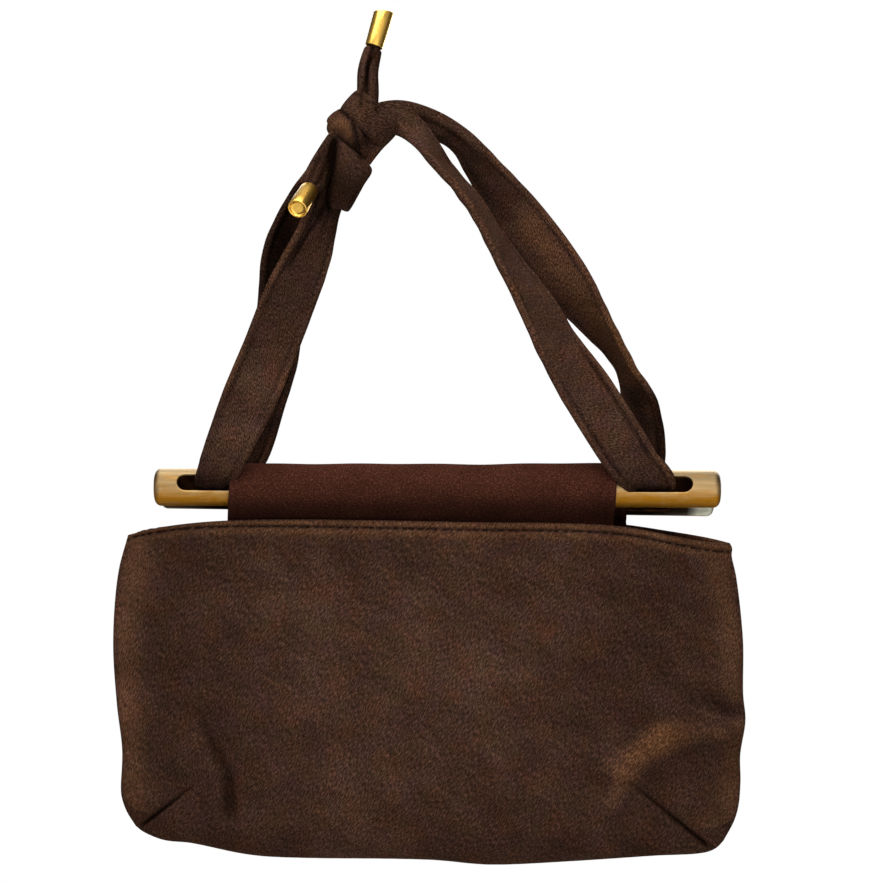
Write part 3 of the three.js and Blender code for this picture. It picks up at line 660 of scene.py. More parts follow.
def neighbours(rows, place, closed):
    """The four rows around each place on a curve, and how far the place is from the second to the third."""
    spans = len(rows) if closed else len(rows) - 1
    first = np.clip(np.floor(place).astype(int), 0, spans - 1)
    if closed:
        near = [rows[(first + k) % len(rows)] for k in (-1, 0, 1, 2)]
    else:
        ends = np.vstack([2 * rows[:1] - rows[1:2], rows, 2 * rows[-1:] - rows[-2:-1]])
        near = [ends[first + k] for k in range(4)]
    return near, (place - first)[:, None]


def cubic(b, c, leave, arrive, t):
    """Hermite cubic from b to c, with the directions in which it leaves b and arrives at c."""
    return b + t * leave + t**2 * (3 * (c - b) - 2 * leave - arrive) + t**3 * (2 * (b - c) + leave + arrive)


def smooth_path(rows, place, closed=False):
    """Centripetal Catmull-Rom curve: cubics whose knots are apart by the square root of the distance."""
    (a, b, c, d), t = neighbours(np.asarray(rows, float), np.asarray(place, float), closed)
    spans = [np.linalg.norm(q - p, axis=1, keepdims=True) for p, q in ((a, b), (b, c), (c, d))]
    first, second, third = (np.maximum(span, SHORTEST_SPAN) ** 0.5 for span in spans)
    leave = ((b - a) / first - (c - a) / (first + second) + (c - b) / second) * second
    arrive = ((c - b) / second - (d - b) / (second + third) + (d - c) / third) * second
    return cubic(b, c, leave, arrive, t)


def smooth_rows(rows, place, closed=False):
    """Even Catmull-Rom curve: each cubic leaves along half the way between its neighbours."""
    (a, b, c, d), t = neighbours(np.asarray(rows, float), np.asarray(place, float), closed)
    return cubic(b, c, 0.5 * (c - a), 0.5 * (d - b), t)


def run_length(points):
    """Distance walked along the first axis of a grid of points."""
    steps = np.linalg.norm(np.diff(points, axis=0), axis=-1)
    return np.concatenate([np.zeros_like(steps[:1]), np.cumsum(steps, axis=0)])


def run_across(points):
    """Distance walked along the second axis of a grid of points."""
    return run_length(points.transpose(1, 0, 2)).T


def even_path(rows, shares):
    """Points at the given shares of the length of a smooth curve through the rows."""
    rows = np.asarray(rows, float)
    place = np.linspace(0, len(rows) - 1, CURVE_SAMPLES)
    run = run_length(smooth_path(rows, place))
    return smooth_path(rows, np.interp(np.asarray(shares) * run[-1], run, place))


def graded(parts):
    """Shares from 0 to 1 in even steps within each part: (share reached, number of steps)."""
    shares = [np.zeros(1)]
    for reach, steps in parts:
        shares.append(np.linspace(shares[-1][-1], reach, steps + 1)[1:])
    return np.concatenate(shares)


def grid_faces(rows, columns, wrap_rows=False, wrap_columns=False):
    """Four corners of each cell of a grid, as places in its points and in its seam-open map."""
    i, j = np.meshgrid(
        np.arange(rows if wrap_rows else rows - 1),
        np.arange(columns if wrap_columns else columns - 1),
        indexing="ij",
    )
    corners = [(i, j), (i, j + 1), (i + 1, j + 1), (i + 1, j)]
    places = np.stack([(a % rows) * columns + b % columns for a, b in corners], -1).reshape(-1, 4)
    map_columns = columns + int(wrap_columns)
    spots = np.stack([a * map_columns + b for a, b in corners], -1).reshape(-1, 4)
    return places, spots


def end_fans(sides, last, pole):
    """Two fans that close a swept shell: its first ring to one pole, and its last ring to the next."""
    column = np.arange(sides)
    following = (column + 1) % sides
    first_fan = np.stack([following, column, np.full(sides, pole)], -1)
    last_fan = np.stack([last + column, last + following, np.full(sides, pole + 1)], -1)
    return [first_fan, last_fan]


def ripple(x, z, rise, shortest, longest, seed):
    """Slow unevenness of cloth: a sum of sine waves of mixed lengths and directions."""
    chance = np.random.default_rng(seed)
    height = np.zeros_like(x)
    for _ in range(RIPPLE_WAVES):
        turn = chance.uniform(0, 2 * math.pi)
        length = chance.uniform(shortest, longest)
        phase = chance.uniform(0, 2 * math.pi)
        height += np.sin(2 * math.pi * (x * math.cos(turn) + z * math.sin(turn)) / length + phase)
    return rise * height / math.sqrt(RIPPLE_WAVES)


# Pieces


def make_piece(name, points, faces, maps, material, node, shade=None):
    """A mesh object that stands for a node. Points and the map of its face corners are in millimetres.

    The shade is one value for each point: above 0 it darkens the cloth as painted shade, and below 0 it
    lightens it as painted highlight.
    """
    mesh = bpy.data.meshes.new(name)
    cells = [cell for block in faces for cell in block.tolist()]
    mesh.from_pydata((points.reshape(-1, 3) * MM).tolist(), [], cells)
    layer = mesh.uv_layers.new(name="weave")
    layer.data.foreach_set("uv", np.concatenate([block.reshape(-1) for block in maps]) * MM)
    if shade is not None:
        mark = mesh.attributes.new("shade", "FLOAT", "POINT")
        mark.data.foreach_set("value", np.ascontiguousarray(shade, dtype=np.float32).ravel())
    mesh.shade_smooth()
    mesh.materials.append(material)
    if mesh.validate():
        raise RuntimeError(f"{name} has faces that don't close")
    piece = bpy.data.objects.new(name, mesh)
    bpy.context.scene.collection.objects.link(piece)
    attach(piece, BODY)
    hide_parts(node)
    return piece


def add_wall(piece, thickness):
    """A wall of cloth or metal, grown inwards from the outer face."""
    wall = piece.modifiers.new("wall", "SOLIDIFY")
    wall.thickness = thickness
    wall.offset = -1.0
    wall.use_even_offset = True
    wall.use_quality_normals = True
    return wall


# Bag


def chain_distance(chain, x, z):
    """Distance to the nearest point of a chain of points (x, z), and the share of the chain there."""
    nearest = np.full_like(x, np.inf)
    share = np.zeros_like(x)
    for k, ((x1, z1), (x2, z2)) in enumerate(zip(chain[:-1], chain[1:])):
        along = ((x - x1) * (x2 - x1) + (z - z1) * (z2 - z1)) / ((x2 - x1) ** 2 + (z2 - z1) ** 2)
        along = np.clip(along, 0, 1)
        away = np.hypot(x - x1 - along * (x2 - x1), z - z1 - along * (z2 - z1))
        share = np.where(away < nearest, (k + along) / (len(chain) - 1), share)
        nearest = np.minimum(nearest, away)
    return nearest, share


def fold_rise(folds, x, z):
    """Sum over the folds of rise * exp(-(distance / half width)^2), the rise easing along the fold."""
    rise = np.zeros_like(x)
    for chain, half, first, last in folds:
        away, share = chain_distance(chain, x, z)
        ease = 1 - (1 - FOLD_LEAST) * smoothstep(FOLD_EASE, 1, share)
        rise += ease * (first + (last - first) * share) * bell(away, half)
    return rise


def dart_crease(x, z):
    """Depth of the darts, and how far a point is in one.

    A dart is a narrow crease that runs out at its inner end, in a wide shallow dish.
    """
    depth = np.zeros_like(x)
    mark = np.zeros_like(x)
    for chain, half, cut in DARTS:
        away, along = chain_distance(chain, x, z)
        fade = 1.0 - DART_RUN_OUT * along**2
        crease = np.exp(-((away / (half * fade)) ** DART_SHARP))
        depth += cut * fade * crease + DART_DISH_DEPTH * bell(away, DART_DISH)
        mark = np.maximum(mark, crease * fade)
    return depth, mark


def coons_patch(us, vs, top_edge):
    """Points (x, z) of a panel seen from the front, as a Coons patch of its four edges.

    Top and bottom mixed by v are added to left and right mixed by u, less the mix of the four corners.
    """
    top, bottom = (even_path(rows, us)[None] for rows in (top_edge, BOTTOM_EDGE))
    left, right = (even_path(rows, vs)[:, None] for rows in (LEFT_EDGE, RIGHT_EDGE))
    p, q = us[None, :, None], vs[:, None, None]
    flat = top * (1 - q) + bottom * q + left * (1 - p) + right * p
    flat -= (1 - p) * (1 - q) * top[:, :1] + p * (1 - q) * top[:, -1:]
    flat -= (1 - p) * q * bottom[:, :1] + p * q * bottom[:, -1:]
    return flat


def hem_relief(x, down):
    """Rise of the hem at a distance down from the mouth, and its roll, stitched groove and swell below.

    The roll is (1 - t^2) to a power, with t from -1 to 1 across the hem. Groove and swell are bells. A
    stitch is where the sum of two sine beats is high, made steep by tanh, so that stitches are uneven.
    """
    height = np.interp(x, *zip(*HEM_HEIGHTS))
    beat = np.sin(2 * np.pi * x / HEM_STITCH)
    beat = beat + HEM_DRIFT_SHARE * np.sin(2 * np.pi * x / HEM_STITCH_DRIFT + HEM_DRIFT_START)
    stitch = 0.5 + 0.5 * np.tanh(HEM_STITCH_STEEP * (beat + HEM_STITCH_BIAS))
    roll = np.maximum(0, 1 - ((down - height / 2) / (height / 2)) ** 2) ** HEM_ROUND
    groove = bell(down - height - HEM_STITCH_DROP * stitch, HEM_GROOVE_HALF)
    below = bell(down - height - HEM_SWELL, HEM_SWELL_HALF)
    rise = HEM_RISE * roll + HEM_SWELL_RISE * below * (HEM_SWELL_LEAST + HEM_SWELL_BEAT * stitch)
    rise += HEM_GROOVE_DEPTH * groove * (HEM_GROOVE_LEAST + (1 - HEM_GROOVE_LEAST) * stitch)
    return rise, roll, groove * stitch, below


def panel_points(side, top_edge, folds, sizes):
    """Outer face of a panel and its shade: a Coons patch of its edges, pushed out by a swell.

    The swell is mouth * (1 - share) + belly * share, closed by (1 - v^8)^0.5 at the bottom. The mouth is a
    sine ramp from each corner, the belly is (1 - |2u - 1|^2.4)^0.7, and share is eased from mouth to belly.
    Folds, darts, the hem and a slow ripple are added, and die away at the seams.
    """
    us, vs = graded(PANEL_COLUMNS), graded(PANEL_ROWS)
    u, v = np.meshgrid(us, vs)
    flat = coons_patch(us, vs, top_edge)
    x, z = flat[..., 0], flat[..., 1]
    mouth = sizes.mouth / MM * np.sin(np.pi / 2 * np.minimum(1, np.minimum(u, 1 - u) / MOUTH_TAPER))
    belly = sizes.belly / MM * np.maximum(0, 1 - np.abs(2 * u - 1) ** BELLY_SQUARE) ** BELLY_ROUND
    share = smoothstep(BELLY_START, BELLY_FULL, v)
    swell = (mouth * (1 - share) + belly * share) * np.maximum(0, 1 - v**BOTTOM_SQUARE) ** BOTTOM_ROUND
    fade = np.minimum(1, swell / SEAM_FADE)
    crease, mark = dart_crease(x, z)
    hem, roll, stitched, below = hem_relief(x, run_length(flat))
    edge = np.exp(-swell / PUCKER_REACH) * (1 - np.exp(-swell / PUCKER_START))
    tug = PUCKER_RISE * edge * np.cos(2 * np.pi * (x + z) / PUCKER_LENGTH)
    folding = fold_rise(folds, x, z)
    uneven = ripple(x, z, RIPPLE_RISE, *RIPPLE_LENGTHS, RIPPLE_SEED)
    depth = swell + fade * (folding + crease + uneven + tug) + hem * np.minimum(1, swell / HEM_FADE)
    points = np.stack([x, side * (np.maximum(depth, 0) + GAP / 2), z], -1)
    # Painted shade: darker in the darts, the stitched groove and the dents
    dark = np.maximum(mark * np.minimum(1, fade * CREASE_GAIN), STITCH_DARK * stitched)
    dark = np.maximum(dark, np.clip((-folding - DENT_FROM) / DENT_SPAN, 0, DENT_DARK))
    # worn is painted light here: a highlight on ridges, the hem roll and the swell below the hem, and sheen
    # along the seams
    worn = np.maximum(np.clip((folding - RIDGE_FROM) / RIDGE_SPAN, 0, 1), HEM_HIGHLIGHT * roll)
    seam = SEAM_SHEEN * bell(swell - SEAM_SHEEN_SWELL, SEAM_SHEEN_HALF) * (v < SEAM_SHEEN_UNTIL)
    worn = np.maximum(worn, np.maximum(BELOW_HEM_HIGHLIGHT * below, seam))
    # Painted shade towards the sides
    side_dark = SIDE_DARK * smoothstep(SIDE_FROM, SIDE_FULL, np.abs(2 * u - 1)) * (1 - worn)
    return points, np.maximum(dark, side_dark) - worn * (1 - dark)


def make_panel(name, side, top_edge, folds, node, sizes, material):
    """A sewn panel: its outer face as a grid of cells, with a wall of cloth behind it."""
    points, shade = panel_points(side, top_edge, folds, sizes)
    rows, columns = points.shape[:2]
    places, spots = grid_faces(rows, columns)
    if side < 0:
        places, spots = places[:, ::-1], spots[:, ::-1]
    across = run_across(points)
    across = across - across[:, columns // 2:columns // 2 + 1]
    spread = np.stack([-side * across, -run_length(points)], -1).reshape(-1, 2)
    piece = make_piece(name, points, [places], [spread[spots]], material, node, shade)
    add_wall(piece, sizes.wall)
    return piece


# Sleeves


def on_tube(side, tilt, x, y, z):
    """Points about a tube's middle put in their place: turned by the tilt in the front view, then moved."""
    turn = math.radians(tilt)
    drop = BACK_TUBE_DROP if side > 0 else 0.0
    return np.stack(
        [
            TUBE_X + x * math.cos(turn) + z * math.sin(turn),
            side * TUBE_Y + y,
            TUBE_Z - drop - x * math.sin(turn) + z * math.cos(turn),
        ],
        -1,
    )


def loop_line(radius, half, join, tail):
    """Section of a sleeve: an arc over the tube, then straight down to the join, and a flat tail below."""
    reach = math.hypot(half, join)
    tangent = math.atan2(join, half) - math.acos(radius / reach)
    angle = np.linspace(-tangent, math.pi + tangent, SLEEVE_ARC_POINTS)
    arc = np.stack([radius * np.cos(angle), radius * np.sin(angle)], -1)
    start = np.linspace((half, -tail), (half, -join), SLEEVE_TAIL_STEPS + 1)[:-1]
    rise = np.linspace((half, -join), arc[0], SLEEVE_SIDE_STEPS + 1)[:-1]
    fall = np.linspace(arc[-1], (-half, -join), SLEEVE_SIDE_STEPS + 1)[1:]
    end = np.linspace((-half, -join), (-half, -tail), SLEEVE_TAIL_STEPS + 1)[1:]
    return np.concatenate([start, rise, arc, fall, end])


def make_sleeve(name, side, loop, node, sizes, material):
    """A loop of cloth swept along its tube, with its two ends turned in and a little askew.

    The section moves out by a ripple, by a bell at each turned-in end, and in by a bell at the stitches.
    """
    radius = sizes.tube_diameter / MM / 2 + SLEEVE_EASE + sizes.sleeve_wall / MM
    line = loop_line(radius, sizes.sleeve_wall / MM, loop["join"], SLEEVE_TAIL)
    shares = graded(SLEEVE_COLUMNS)
    x = SLEEVE_LEFT + loop["shift"] + shares * (SLEEVE_RIGHT - SLEEVE_LEFT)
    grid_x, grid_run = np.meshgrid(x, run_length(line), indexing="ij")
    out = unit(np.stack([line[:, 0], np.maximum(line[:, 1], -loop["join"])], -1))
    from_end = np.minimum(grid_x - x[0], x[-1] - grid_x)
    lift = ripple(grid_x * SLEEVE_STRETCH, grid_run, SLEEVE_RIPPLE, *SLEEVE_RIPPLE_LENGTHS, SLEEVE_SEED)
    lift += SLEEVE_HEM_RISE * bell(from_end - SLEEVE_HEM_IN, SLEEVE_HEM_HALF)
    lift += SLEEVE_STITCH_DEPTH * bell(from_end - SLEEVE_STITCH_IN, SLEEVE_STITCH_HALF)
    lift *= smoothstep(-SLEEVE_TAIL, SLEEVE_CALM - loop["join"], line[:, 1])[None]
    yz = line[None] + out[None] * lift[..., None]
    near_end = np.clip(1 - 2 * np.minimum(shares, 1 - shares) / SLEEVE_SKEW_REACH, 0, 1)
    skew = SLEEVE_SKEW * np.where(shares < 0.5, 1, loop["right_skew"]) * near_end
    off = grid_x + skew[:, None] * (line[:, 1] / radius)[None] - TUBE_X
    points = on_tube(side, BACK_TUBE_TILT if side > 0 else 0.0, off, yz[..., 0], yz[..., 1])
    places, spots = grid_faces(*points.shape[:2])
    spread = np.stack([grid_x, grid_run], -1).reshape(-1, 2)
    shade = SLEEVE_STITCH_SHADE * bell(from_end - SLEEVE_STITCH_IN, SLEEVE_STITCH_SHADE_HALF)
    shade = shade + SLEEVE_LOW_SHADE * smoothstep(*SLEEVE_LOW_SPAN, -line[:, 1])[None]
    piece = make_piece(name, points, [places], [spread[spots]], material, node, shade)
    add_wall(piece, sizes.sleeve_wall)
    return piece


# Tubes


def tube_profile(half, radius):
    """Rings of a rod with rounded ends as (x, radius): flat cap, quarter arc, straight, and back."""
    arc = np.linspace(0, np.pi / 2, TUBE_ARC_RINGS + 1)
    flat = np.linspace(0, radius - TUBE_ROUND, TUBE_CAP_RINGS + 1)[1:-1]
    cap_x = np.concatenate([np.full(len(flat), half), half - TUBE_ROUND + TUBE_ROUND * np.cos(arc)])
    cap_r = np.concatenate([flat, radius - TUBE_ROUND + TUBE_ROUND * np.sin(arc)])
    straight = np.linspace(half - TUBE_ROUND, TUBE_ROUND - half, TUBE_STEPS + 1)[1:-1]
    x = np.concatenate([cap_x, straight, -cap_x[::-1]])
    r = np.concatenate([cap_r, np.full(len(straight), radius), cap_r[::-1]])
    return x, r


def slot_places(half):
    """Middle and length of each slot, and the quarter of the tube that it faces: 1 is out, 3 is in.

    Both slots of an end share the end that lies towards the middle of the tube.
    """
    left = -half + SLOT_LEFT_FROM_END + SLOT_LENGTH
    right = half - SLOT_RIGHT_FROM_END - SLOT_LENGTH
    return [
        (left - SLOT_LENGTH / 2, SLOT_LENGTH, 1),
        (left - SLOT_INNER_LENGTH / 2, SLOT_INNER_LENGTH, 3),
        (right + SLOT_LENGTH / 2, SLOT_LENGTH, 1),
        (right + SLOT_INNER_LENGTH / 2, SLOT_INNER_LENGTH, 3),
    ]


def slot_block(x, centre_x, length, quarter):
    """First and last row and column of the block of cells that is left out round a slot."""
    first, last = np.flatnonzero(np.abs(x - centre_x) <= length / 2 + SLOT_MARGIN)[[0, -1]]
    centre = quarter * TUBE_SIDES // 4
    return first, last, centre - SLOT_COLUMNS, centre + SLOT_COLUMNS


def slot_rings(x, radius, centre_x, length, block):
    """Rings from the rim of a slot's block to the slot's outline: places of the rim, and points (x, angle).

    The outline point that a rim point goes to lies half the slot's width from the nearest point of the
    slot's middle line. The first ring is the rim itself.
    """
    first, last, low, high = block
    long, wide = last - first, high - low
    row = np.concatenate(
        [np.arange(first, last), np.full(wide, last), np.arange(last, first, -1), np.full(wide, first)]
    )
    column = np.concatenate(
        [np.full(long, low), np.arange(low, high), np.full(long, high), np.arange(high, low, -1)]
    )
    step = 2 * np.pi / TUBE_SIDES
    centre = (low + high) // 2
    off_x = x[row] - centre_x
    turn = (column - centre) * step
    middle = length / 2 - SLOT_WIDTH / 2
    near = np.clip(off_x, -middle, middle)
    way = unit(np.stack([off_x - near, radius * np.sin(turn)], -1))
    edge_x = near + way[:, 0] * SLOT_WIDTH / 2
    edge_turn = np.arcsin(way[:, 1] * SLOT_WIDTH / 2 / radius)
    share = np.linspace(0, 1, SLOT_RINGS + 1)[:, None]
    ring_x = centre_x + off_x + (edge_x - off_x) * share
    ring_turn = centre * step + turn + (edge_turn - turn) * share
    return row * TUBE_SIDES + column, ring_x, ring_turn


def tube_surface(sizes):
    """Outer face of a tube as (x, radius, angle), with four slots.

    The face is the tube's profile carried round its axis. Round each slot a block of cells is left out, and
    rings of cells fill it from the block's rim to the slot's outline.
    """
    half = sizes.tube_length / MM / 2
    radius = sizes.tube_diameter / MM / 2
    x, r = tube_profile(half, radius)
    rows = len(x)
    angles = np.arange(TUBE_SIDES) * 2 * np.pi / TUBE_SIDES
    points = [np.stack(np.broadcast_arrays(x[:, None], r[:, None], angles[None]), -1).reshape(-1, 3)]
    places, spots = grid_faces(rows, TUBE_SIDES, wrap_columns=True)
    keep = np.ones((rows - 1, TUBE_SIDES), bool)
    run = run_length(np.stack([x, r], -1))
    around = np.linspace(0, 2 * np.pi * radius, TUBE_SIDES + 1)
    spread = np.stack(np.meshgrid(run, around, indexing="ij"), -1).reshape(-1, 2)
    faces, maps = [], []
    count = rows * TUBE_SIDES
    for centre_x, length, quarter in slot_places(half):
        block = slot_block(x, centre_x, length, quarter)
        first, last, low, high = block
        keep[first:last, low:high] = False
        rim, ring_x, ring_turn = slot_rings(x, radius, centre_x, length, block)
        ring = np.stack([ring_x, np.full_like(ring_x, radius), ring_turn], -1)[1:]
        points.append(ring.reshape(-1, 3))
        made = ring.shape[0] * ring.shape[1]
        names = np.concatenate([rim, count + np.arange(made)])
        count += made
        cells, _ = grid_faces(*ring_x.shape, wrap_columns=True)
        faces.append(names[cells][:, ::-1])
        spot = np.stack([half - ring_x, ring_turn * radius], -1).reshape(-1, 2)
        maps.append(spot[cells][:, ::-1])
    kept = keep.ravel()
    faces.insert(0, places[kept])
    maps.insert(0, spread[spots[kept]])
    points.append(np.array([[half, 0, 0], [-half, 0, 0]], float))
    faces += end_fans(TUBE_SIDES, (rows - 1) * TUBE_SIDES, count)
    fan = np.stack([around[:-1], around[1:], around[:-1]], -1)
    maps += [np.stack([np.full_like(fan, end), fan], -1) for end in (0.0, run[-1])]
    return np.concatenate(points), faces, maps


def make_tube(name, side, node, sizes, material, inside):
    """A closed brass tube along X with two long slots on each side, walled and with softened slot edges."""
    polar, faces, maps = tube_surface(sizes)
    x, radius, angle = polar.T
    tilt = math.radians(SLOT_TILT) * side
    turned = angle + (math.pi if side > 0 else 0.0)
    y = -radius * np.sin(turned)
    z = radius * np.cos(turned)
    y, z = y * math.cos(tilt) - z * math.sin(tilt), y * math.sin(tilt) + z * math.cos(tilt)
    points = on_tube(side, BACK_TUBE_TILT if side > 0 else FRONT_TUBE_TILT, x, y, z)
    faces, maps = outward(points - points.mean(axis=0), faces, maps)
    piece = make_piece(name, points, faces, maps, material, node)
    piece.data.materials.append(inside)
    # Painted shade: the ring next to each inner slot takes the dark bore material
    dark = [np.zeros(len(block), np.int32) for block in faces]
    for k in INNER_SLOT_BLOCKS:
        dark[k][-(len(dark[k]) // SLOT_RINGS):] = 1
    piece.data.polygons.foreach_set("material_index", np.concatenate(dark))
    add_wall(piece, sizes.tube_wall).material_offset = 1
    soften = piece.modifiers.new("slot edges", "BEVEL")
    soften.width = SLOT_EDGE_ROUND
    soften.segments = SLOT_EDGE_STEPS
    soften.limit_method = "ANGLE"
    soften.angle_limit = math.radians(SLOT_EDGE_ANGLE)
    return piece


# Strap


def width_axis(table):
    """Direction across a band: lean turns it in the front view, and swing turns it to the back."""
    lean = np.radians(table[:, 5])
    swing = np.radians(table[:, 6])
    return np.stack([np.cos(lean) * np.cos(swing), np.sin(swing), np.sin(lean) * np.cos(swing)], -1)


def pass_rows(sizes, x, width, thick, lean):
    """Rows of the strap where it dips through both tubes from front to back."""
    radius = sizes.tube_diameter / MM / 2
    rise = radius * math.sin(math.radians(SLOT_TILT))
    reach = radius * math.cos(math.radians(SLOT_TILT))
    back_z = TUBE_Z - BACK_TUBE_DROP - (x - TUBE_X) * math.tan(math.radians(BACK_TUBE_TILT))
    front_z = TUBE_Z - (x - TUBE_X) * math.tan(math.radians(FRONT_TUBE_TILT))
    path = [
        (-TUBE_Y - reach + PASS_IN, front_z + rise + PASS_LIFT),
        (-TUBE_Y, front_z - PASS_SAG / 2),
        (0, (front_z + back_z) / 2 - rise - PASS_SAG / 2),
        (TUBE_Y, back_z - PASS_SAG / 2),
        (TUBE_Y + reach - PASS_IN, back_z + rise + PASS_LIFT),
    ]
    return [(x, y, z, width, thick, lean, 0) for y, z in path]


def ring_rows(ring):
    """Rows of a closed loop round the knot: an ellipse square to the band that it holds."""
    lean = math.radians(ring["lean"])
    rows = []
    for k in range(RING_ROWS):
        angle = 2 * math.pi * k / RING_ROWS
        off = ring["across"] * math.cos(angle)
        x = ring["x"] - off * math.sin(lean)
        y = ring["y"] - ring["deep"] * math.sin(angle)
        z = ring["z"] + off * math.cos(lean)
        rows.append((x, y, z, ring["width"], ring["thick"], ring["lean"], 0))
    return rows


def tip_rows(tip, sizes):
    """Rows that carry a tail into its tip: as wide as the open end, then gathered to fit the bore."""
    place, way, lean = tip
    way = unit(np.array(way, float))
    mouth = sizes.tip_diameter / MM
    bore = (mouth - 2 * (TIP_WALL + GAP)) * TIP_FILL
    steps = [(-TIP_NECK, mouth), (0.0, bore), (TIP_GRIP, bore)]
    return [(*(np.array(place) + way * far), wide, wide * TIP_FLAT, lean, 0) for far, wide in steps]


def band_frame(table, place, closed):
    """Middle line of a band, and its directions across the width and out of the face.

    The direction across is the one that the rows give, made square to the path.
    """
    spans = len(table) if closed else len(table) - 1
    spots = [place - PATH_NUDGE, place + PATH_NUDGE]
    low, high = (spot % spans if closed else np.clip(spot, 0, spans) for spot in spots)
    middle, before, after = (smooth_path(table[:, :3], spot, closed) for spot in (place, low, high))
    tangent = unit(after - before)
    across = smooth_rows(width_axis(table), place, closed)
    across = unit(across - tangent * np.sum(across * tangent, -1, keepdims=True))
    return middle, across, np.cross(tangent, across)


def band_section(half, thin, run, puff):
    """Section of a band: places across it, heights over its middle, which face they are on, and its shade.

    It is flat with round shoulders, and puff mixes it with an ellipse. A wide band has a rolled edge and
    a stitched groove beside it on both faces, as bells over the distance from the edge. The groove comes
    and goes along the band by the square of a sine.
    """
    angle = np.arange(STRAP_SIDES) * 2 * np.pi / STRAP_SIDES
    w = half * np.cos(angle)
    face = np.sign(np.sin(angle))[None]
    shoulder = np.maximum(half - SHOULDER_ROUND * thin, SHOULDER_LEAST * half)
    beyond = np.maximum(0, (np.abs(w) - shoulder) / (half - shoulder))
    flat_side = np.sqrt(np.maximum(0, 1 - beyond**2))
    round_side = np.sqrt(np.maximum(0, 1 - (w / half) ** 2))
    inset = half - np.abs(w)
    gate = np.clip((half - EDGE_GATE_FROM) / EDGE_GATE_SPAN, 0, 1) * (1 - puff)
    fade = EDGE_LEAST + (1 - EDGE_LEAST) * np.sin(run / EDGE_DRIFT + EDGE_SIDE_PHASE * np.sign(w)) ** 2
    groove = bell(inset - EDGE_GROOVE_IN, EDGE_GROOVE_HALF) * gate * fade
    n = face * thin * ((1 - puff) * flat_side + puff * round_side)
    n = n + face * gate * EDGE_ROLL * bell(inset - EDGE_ROLL_IN, EDGE_ROLL_HALF)
    n = n + face * EDGE_GROOVE * groove
    # shade is painted shade in the stitched groove, and worn is painted sheen along the very edge
    shade = EDGE_DARK * groove
    worn = EDGE_SHEEN * gate * fade * bell(inset - EDGE_SHEEN_IN, EDGE_SHEEN_HALF)
    return w, n, face, shade, worn


def end_map(sides):
    """Map of the fan that closes an end of a band: a strip of narrow triangles, in millimetres."""
    column = np.arange(sides)
    fan = np.zeros((sides, 3, 2))
    fan[:, 0, 0] = column * END_MAP_STEP
    fan[:, 1, 0] = column * END_MAP_STEP + END_MAP_STEP
    fan[:, 2, 1] = 1.0
    return fan


def band_surface(rows, closed=False, grooves=(), gather=1.0, puff=0.0):
    """A flat band carried along a smooth path through its rows.

    Where the band is narrower than the strap, it is gathered: its middle follows a wave across the width. A
    groove is (first row, last row, place across from -1 to 1, half width, depth), and is pressed into both
    faces as a bell across the band.
    """
    table = np.array(rows, float)
    count = len(table) * STRAP_STEPS if closed else (len(table) - 1) * STRAP_STEPS + 1
    place = np.arange(count) / STRAP_STEPS
    middle, across, out = band_frame(table, place, closed)
    size = smooth_rows(table[:, 3:5], place, closed) / 2
    half, thin = size[:, :1], size[:, 1:]
    run = run_length(middle)[:, None]
    w, n, face, shade, worn = band_section(half, thin, run, puff)
    tight = np.clip(1 - 2 * half / STRAP_WIDTH, 0, GATHER_MOST)
    turns = 2 * np.pi * GATHER_WAVES * w / (2 * half) + run / GATHER_DRIFT
    uneven = ripple(w, run, STRAP_RIPPLE, *STRAP_RIPPLE_LENGTHS, STRAP_SEED)
    shift = gather * GATHER_RISE * tight * np.cos(turns) + uneven * np.clip(half / STRAP_RIPPLE_HALF, 0, 1)
    pressed = np.zeros_like(w)
    for start, end, spot, wide, depth in grooves:
        ease = smoothstep(start, start + GROOVE_EASE, place)
        ease = ease * (1 - smoothstep(end - GROOVE_EASE, end, place))
        pressed = pressed + depth * ease[:, None] * bell(w - spot * half, wide)
    n = n - face * np.minimum(pressed, GROOVE_MOST * np.abs(n))
    points = middle[:, None] + across[:, None] * w[..., None] + out[:, None] * (n + shift)[..., None]
    # The pressed grooves add painted shade, and worn, the painted sheen of the edges, lightens them
    shade = np.clip(shade + GROOVE_DARK * pressed, 0, 1) - worn
    spread_w = np.concatenate([w, w[:, :1]], 1)
    if closed:
        total = run[-1:] + np.linalg.norm(middle[0] - middle[-1])
        spread_w = np.vstack([spread_w, spread_w[:1]])
        run = np.vstack([run, total])
    turned = np.concatenate([np.where(face > 0, 0.0, BACK_FACE_MAP), [[BACK_FACE_MAP]]], 1)
    spread = np.stack(np.broadcast_arrays(spread_w + turned, run), -1).reshape(-1, 2)
    places, spots = grid_faces(count, STRAP_SIDES, closed, True)
    points = points.reshape(-1, 3)
    if closed:
        return points, [places], [spread[spots]], shade.ravel()
    fan = end_map(STRAP_SIDES)
    points = np.vstack([points, middle[:1], middle[-1:]])
    faces = [places] + end_fans(STRAP_SIDES, (count - 1) * STRAP_SIDES, count * STRAP_SIDES)
    return points, faces, [spread[spots], fan, fan], np.concatenate([shade.ravel(), [END_SHADE, END_SHADE]])


def outward(points, faces, maps):
    """Turns every face round if the closed shell has a negative volume."""
    flat = points.reshape(-1, 3)
    volume = 0.0
    for block in faces:
        for k in range(1, block.shape[1] - 1):
            a, b, c = flat[block[:, 0]], flat[block[:, k]], flat[block[:, k + 1]]
            volume += np.sum(a * np.cross(b, c))
    if volume < 0:
        faces = [block[:, ::-1] for block in faces]
        maps = [block[:, ::-1] for block in maps]
    return faces, maps


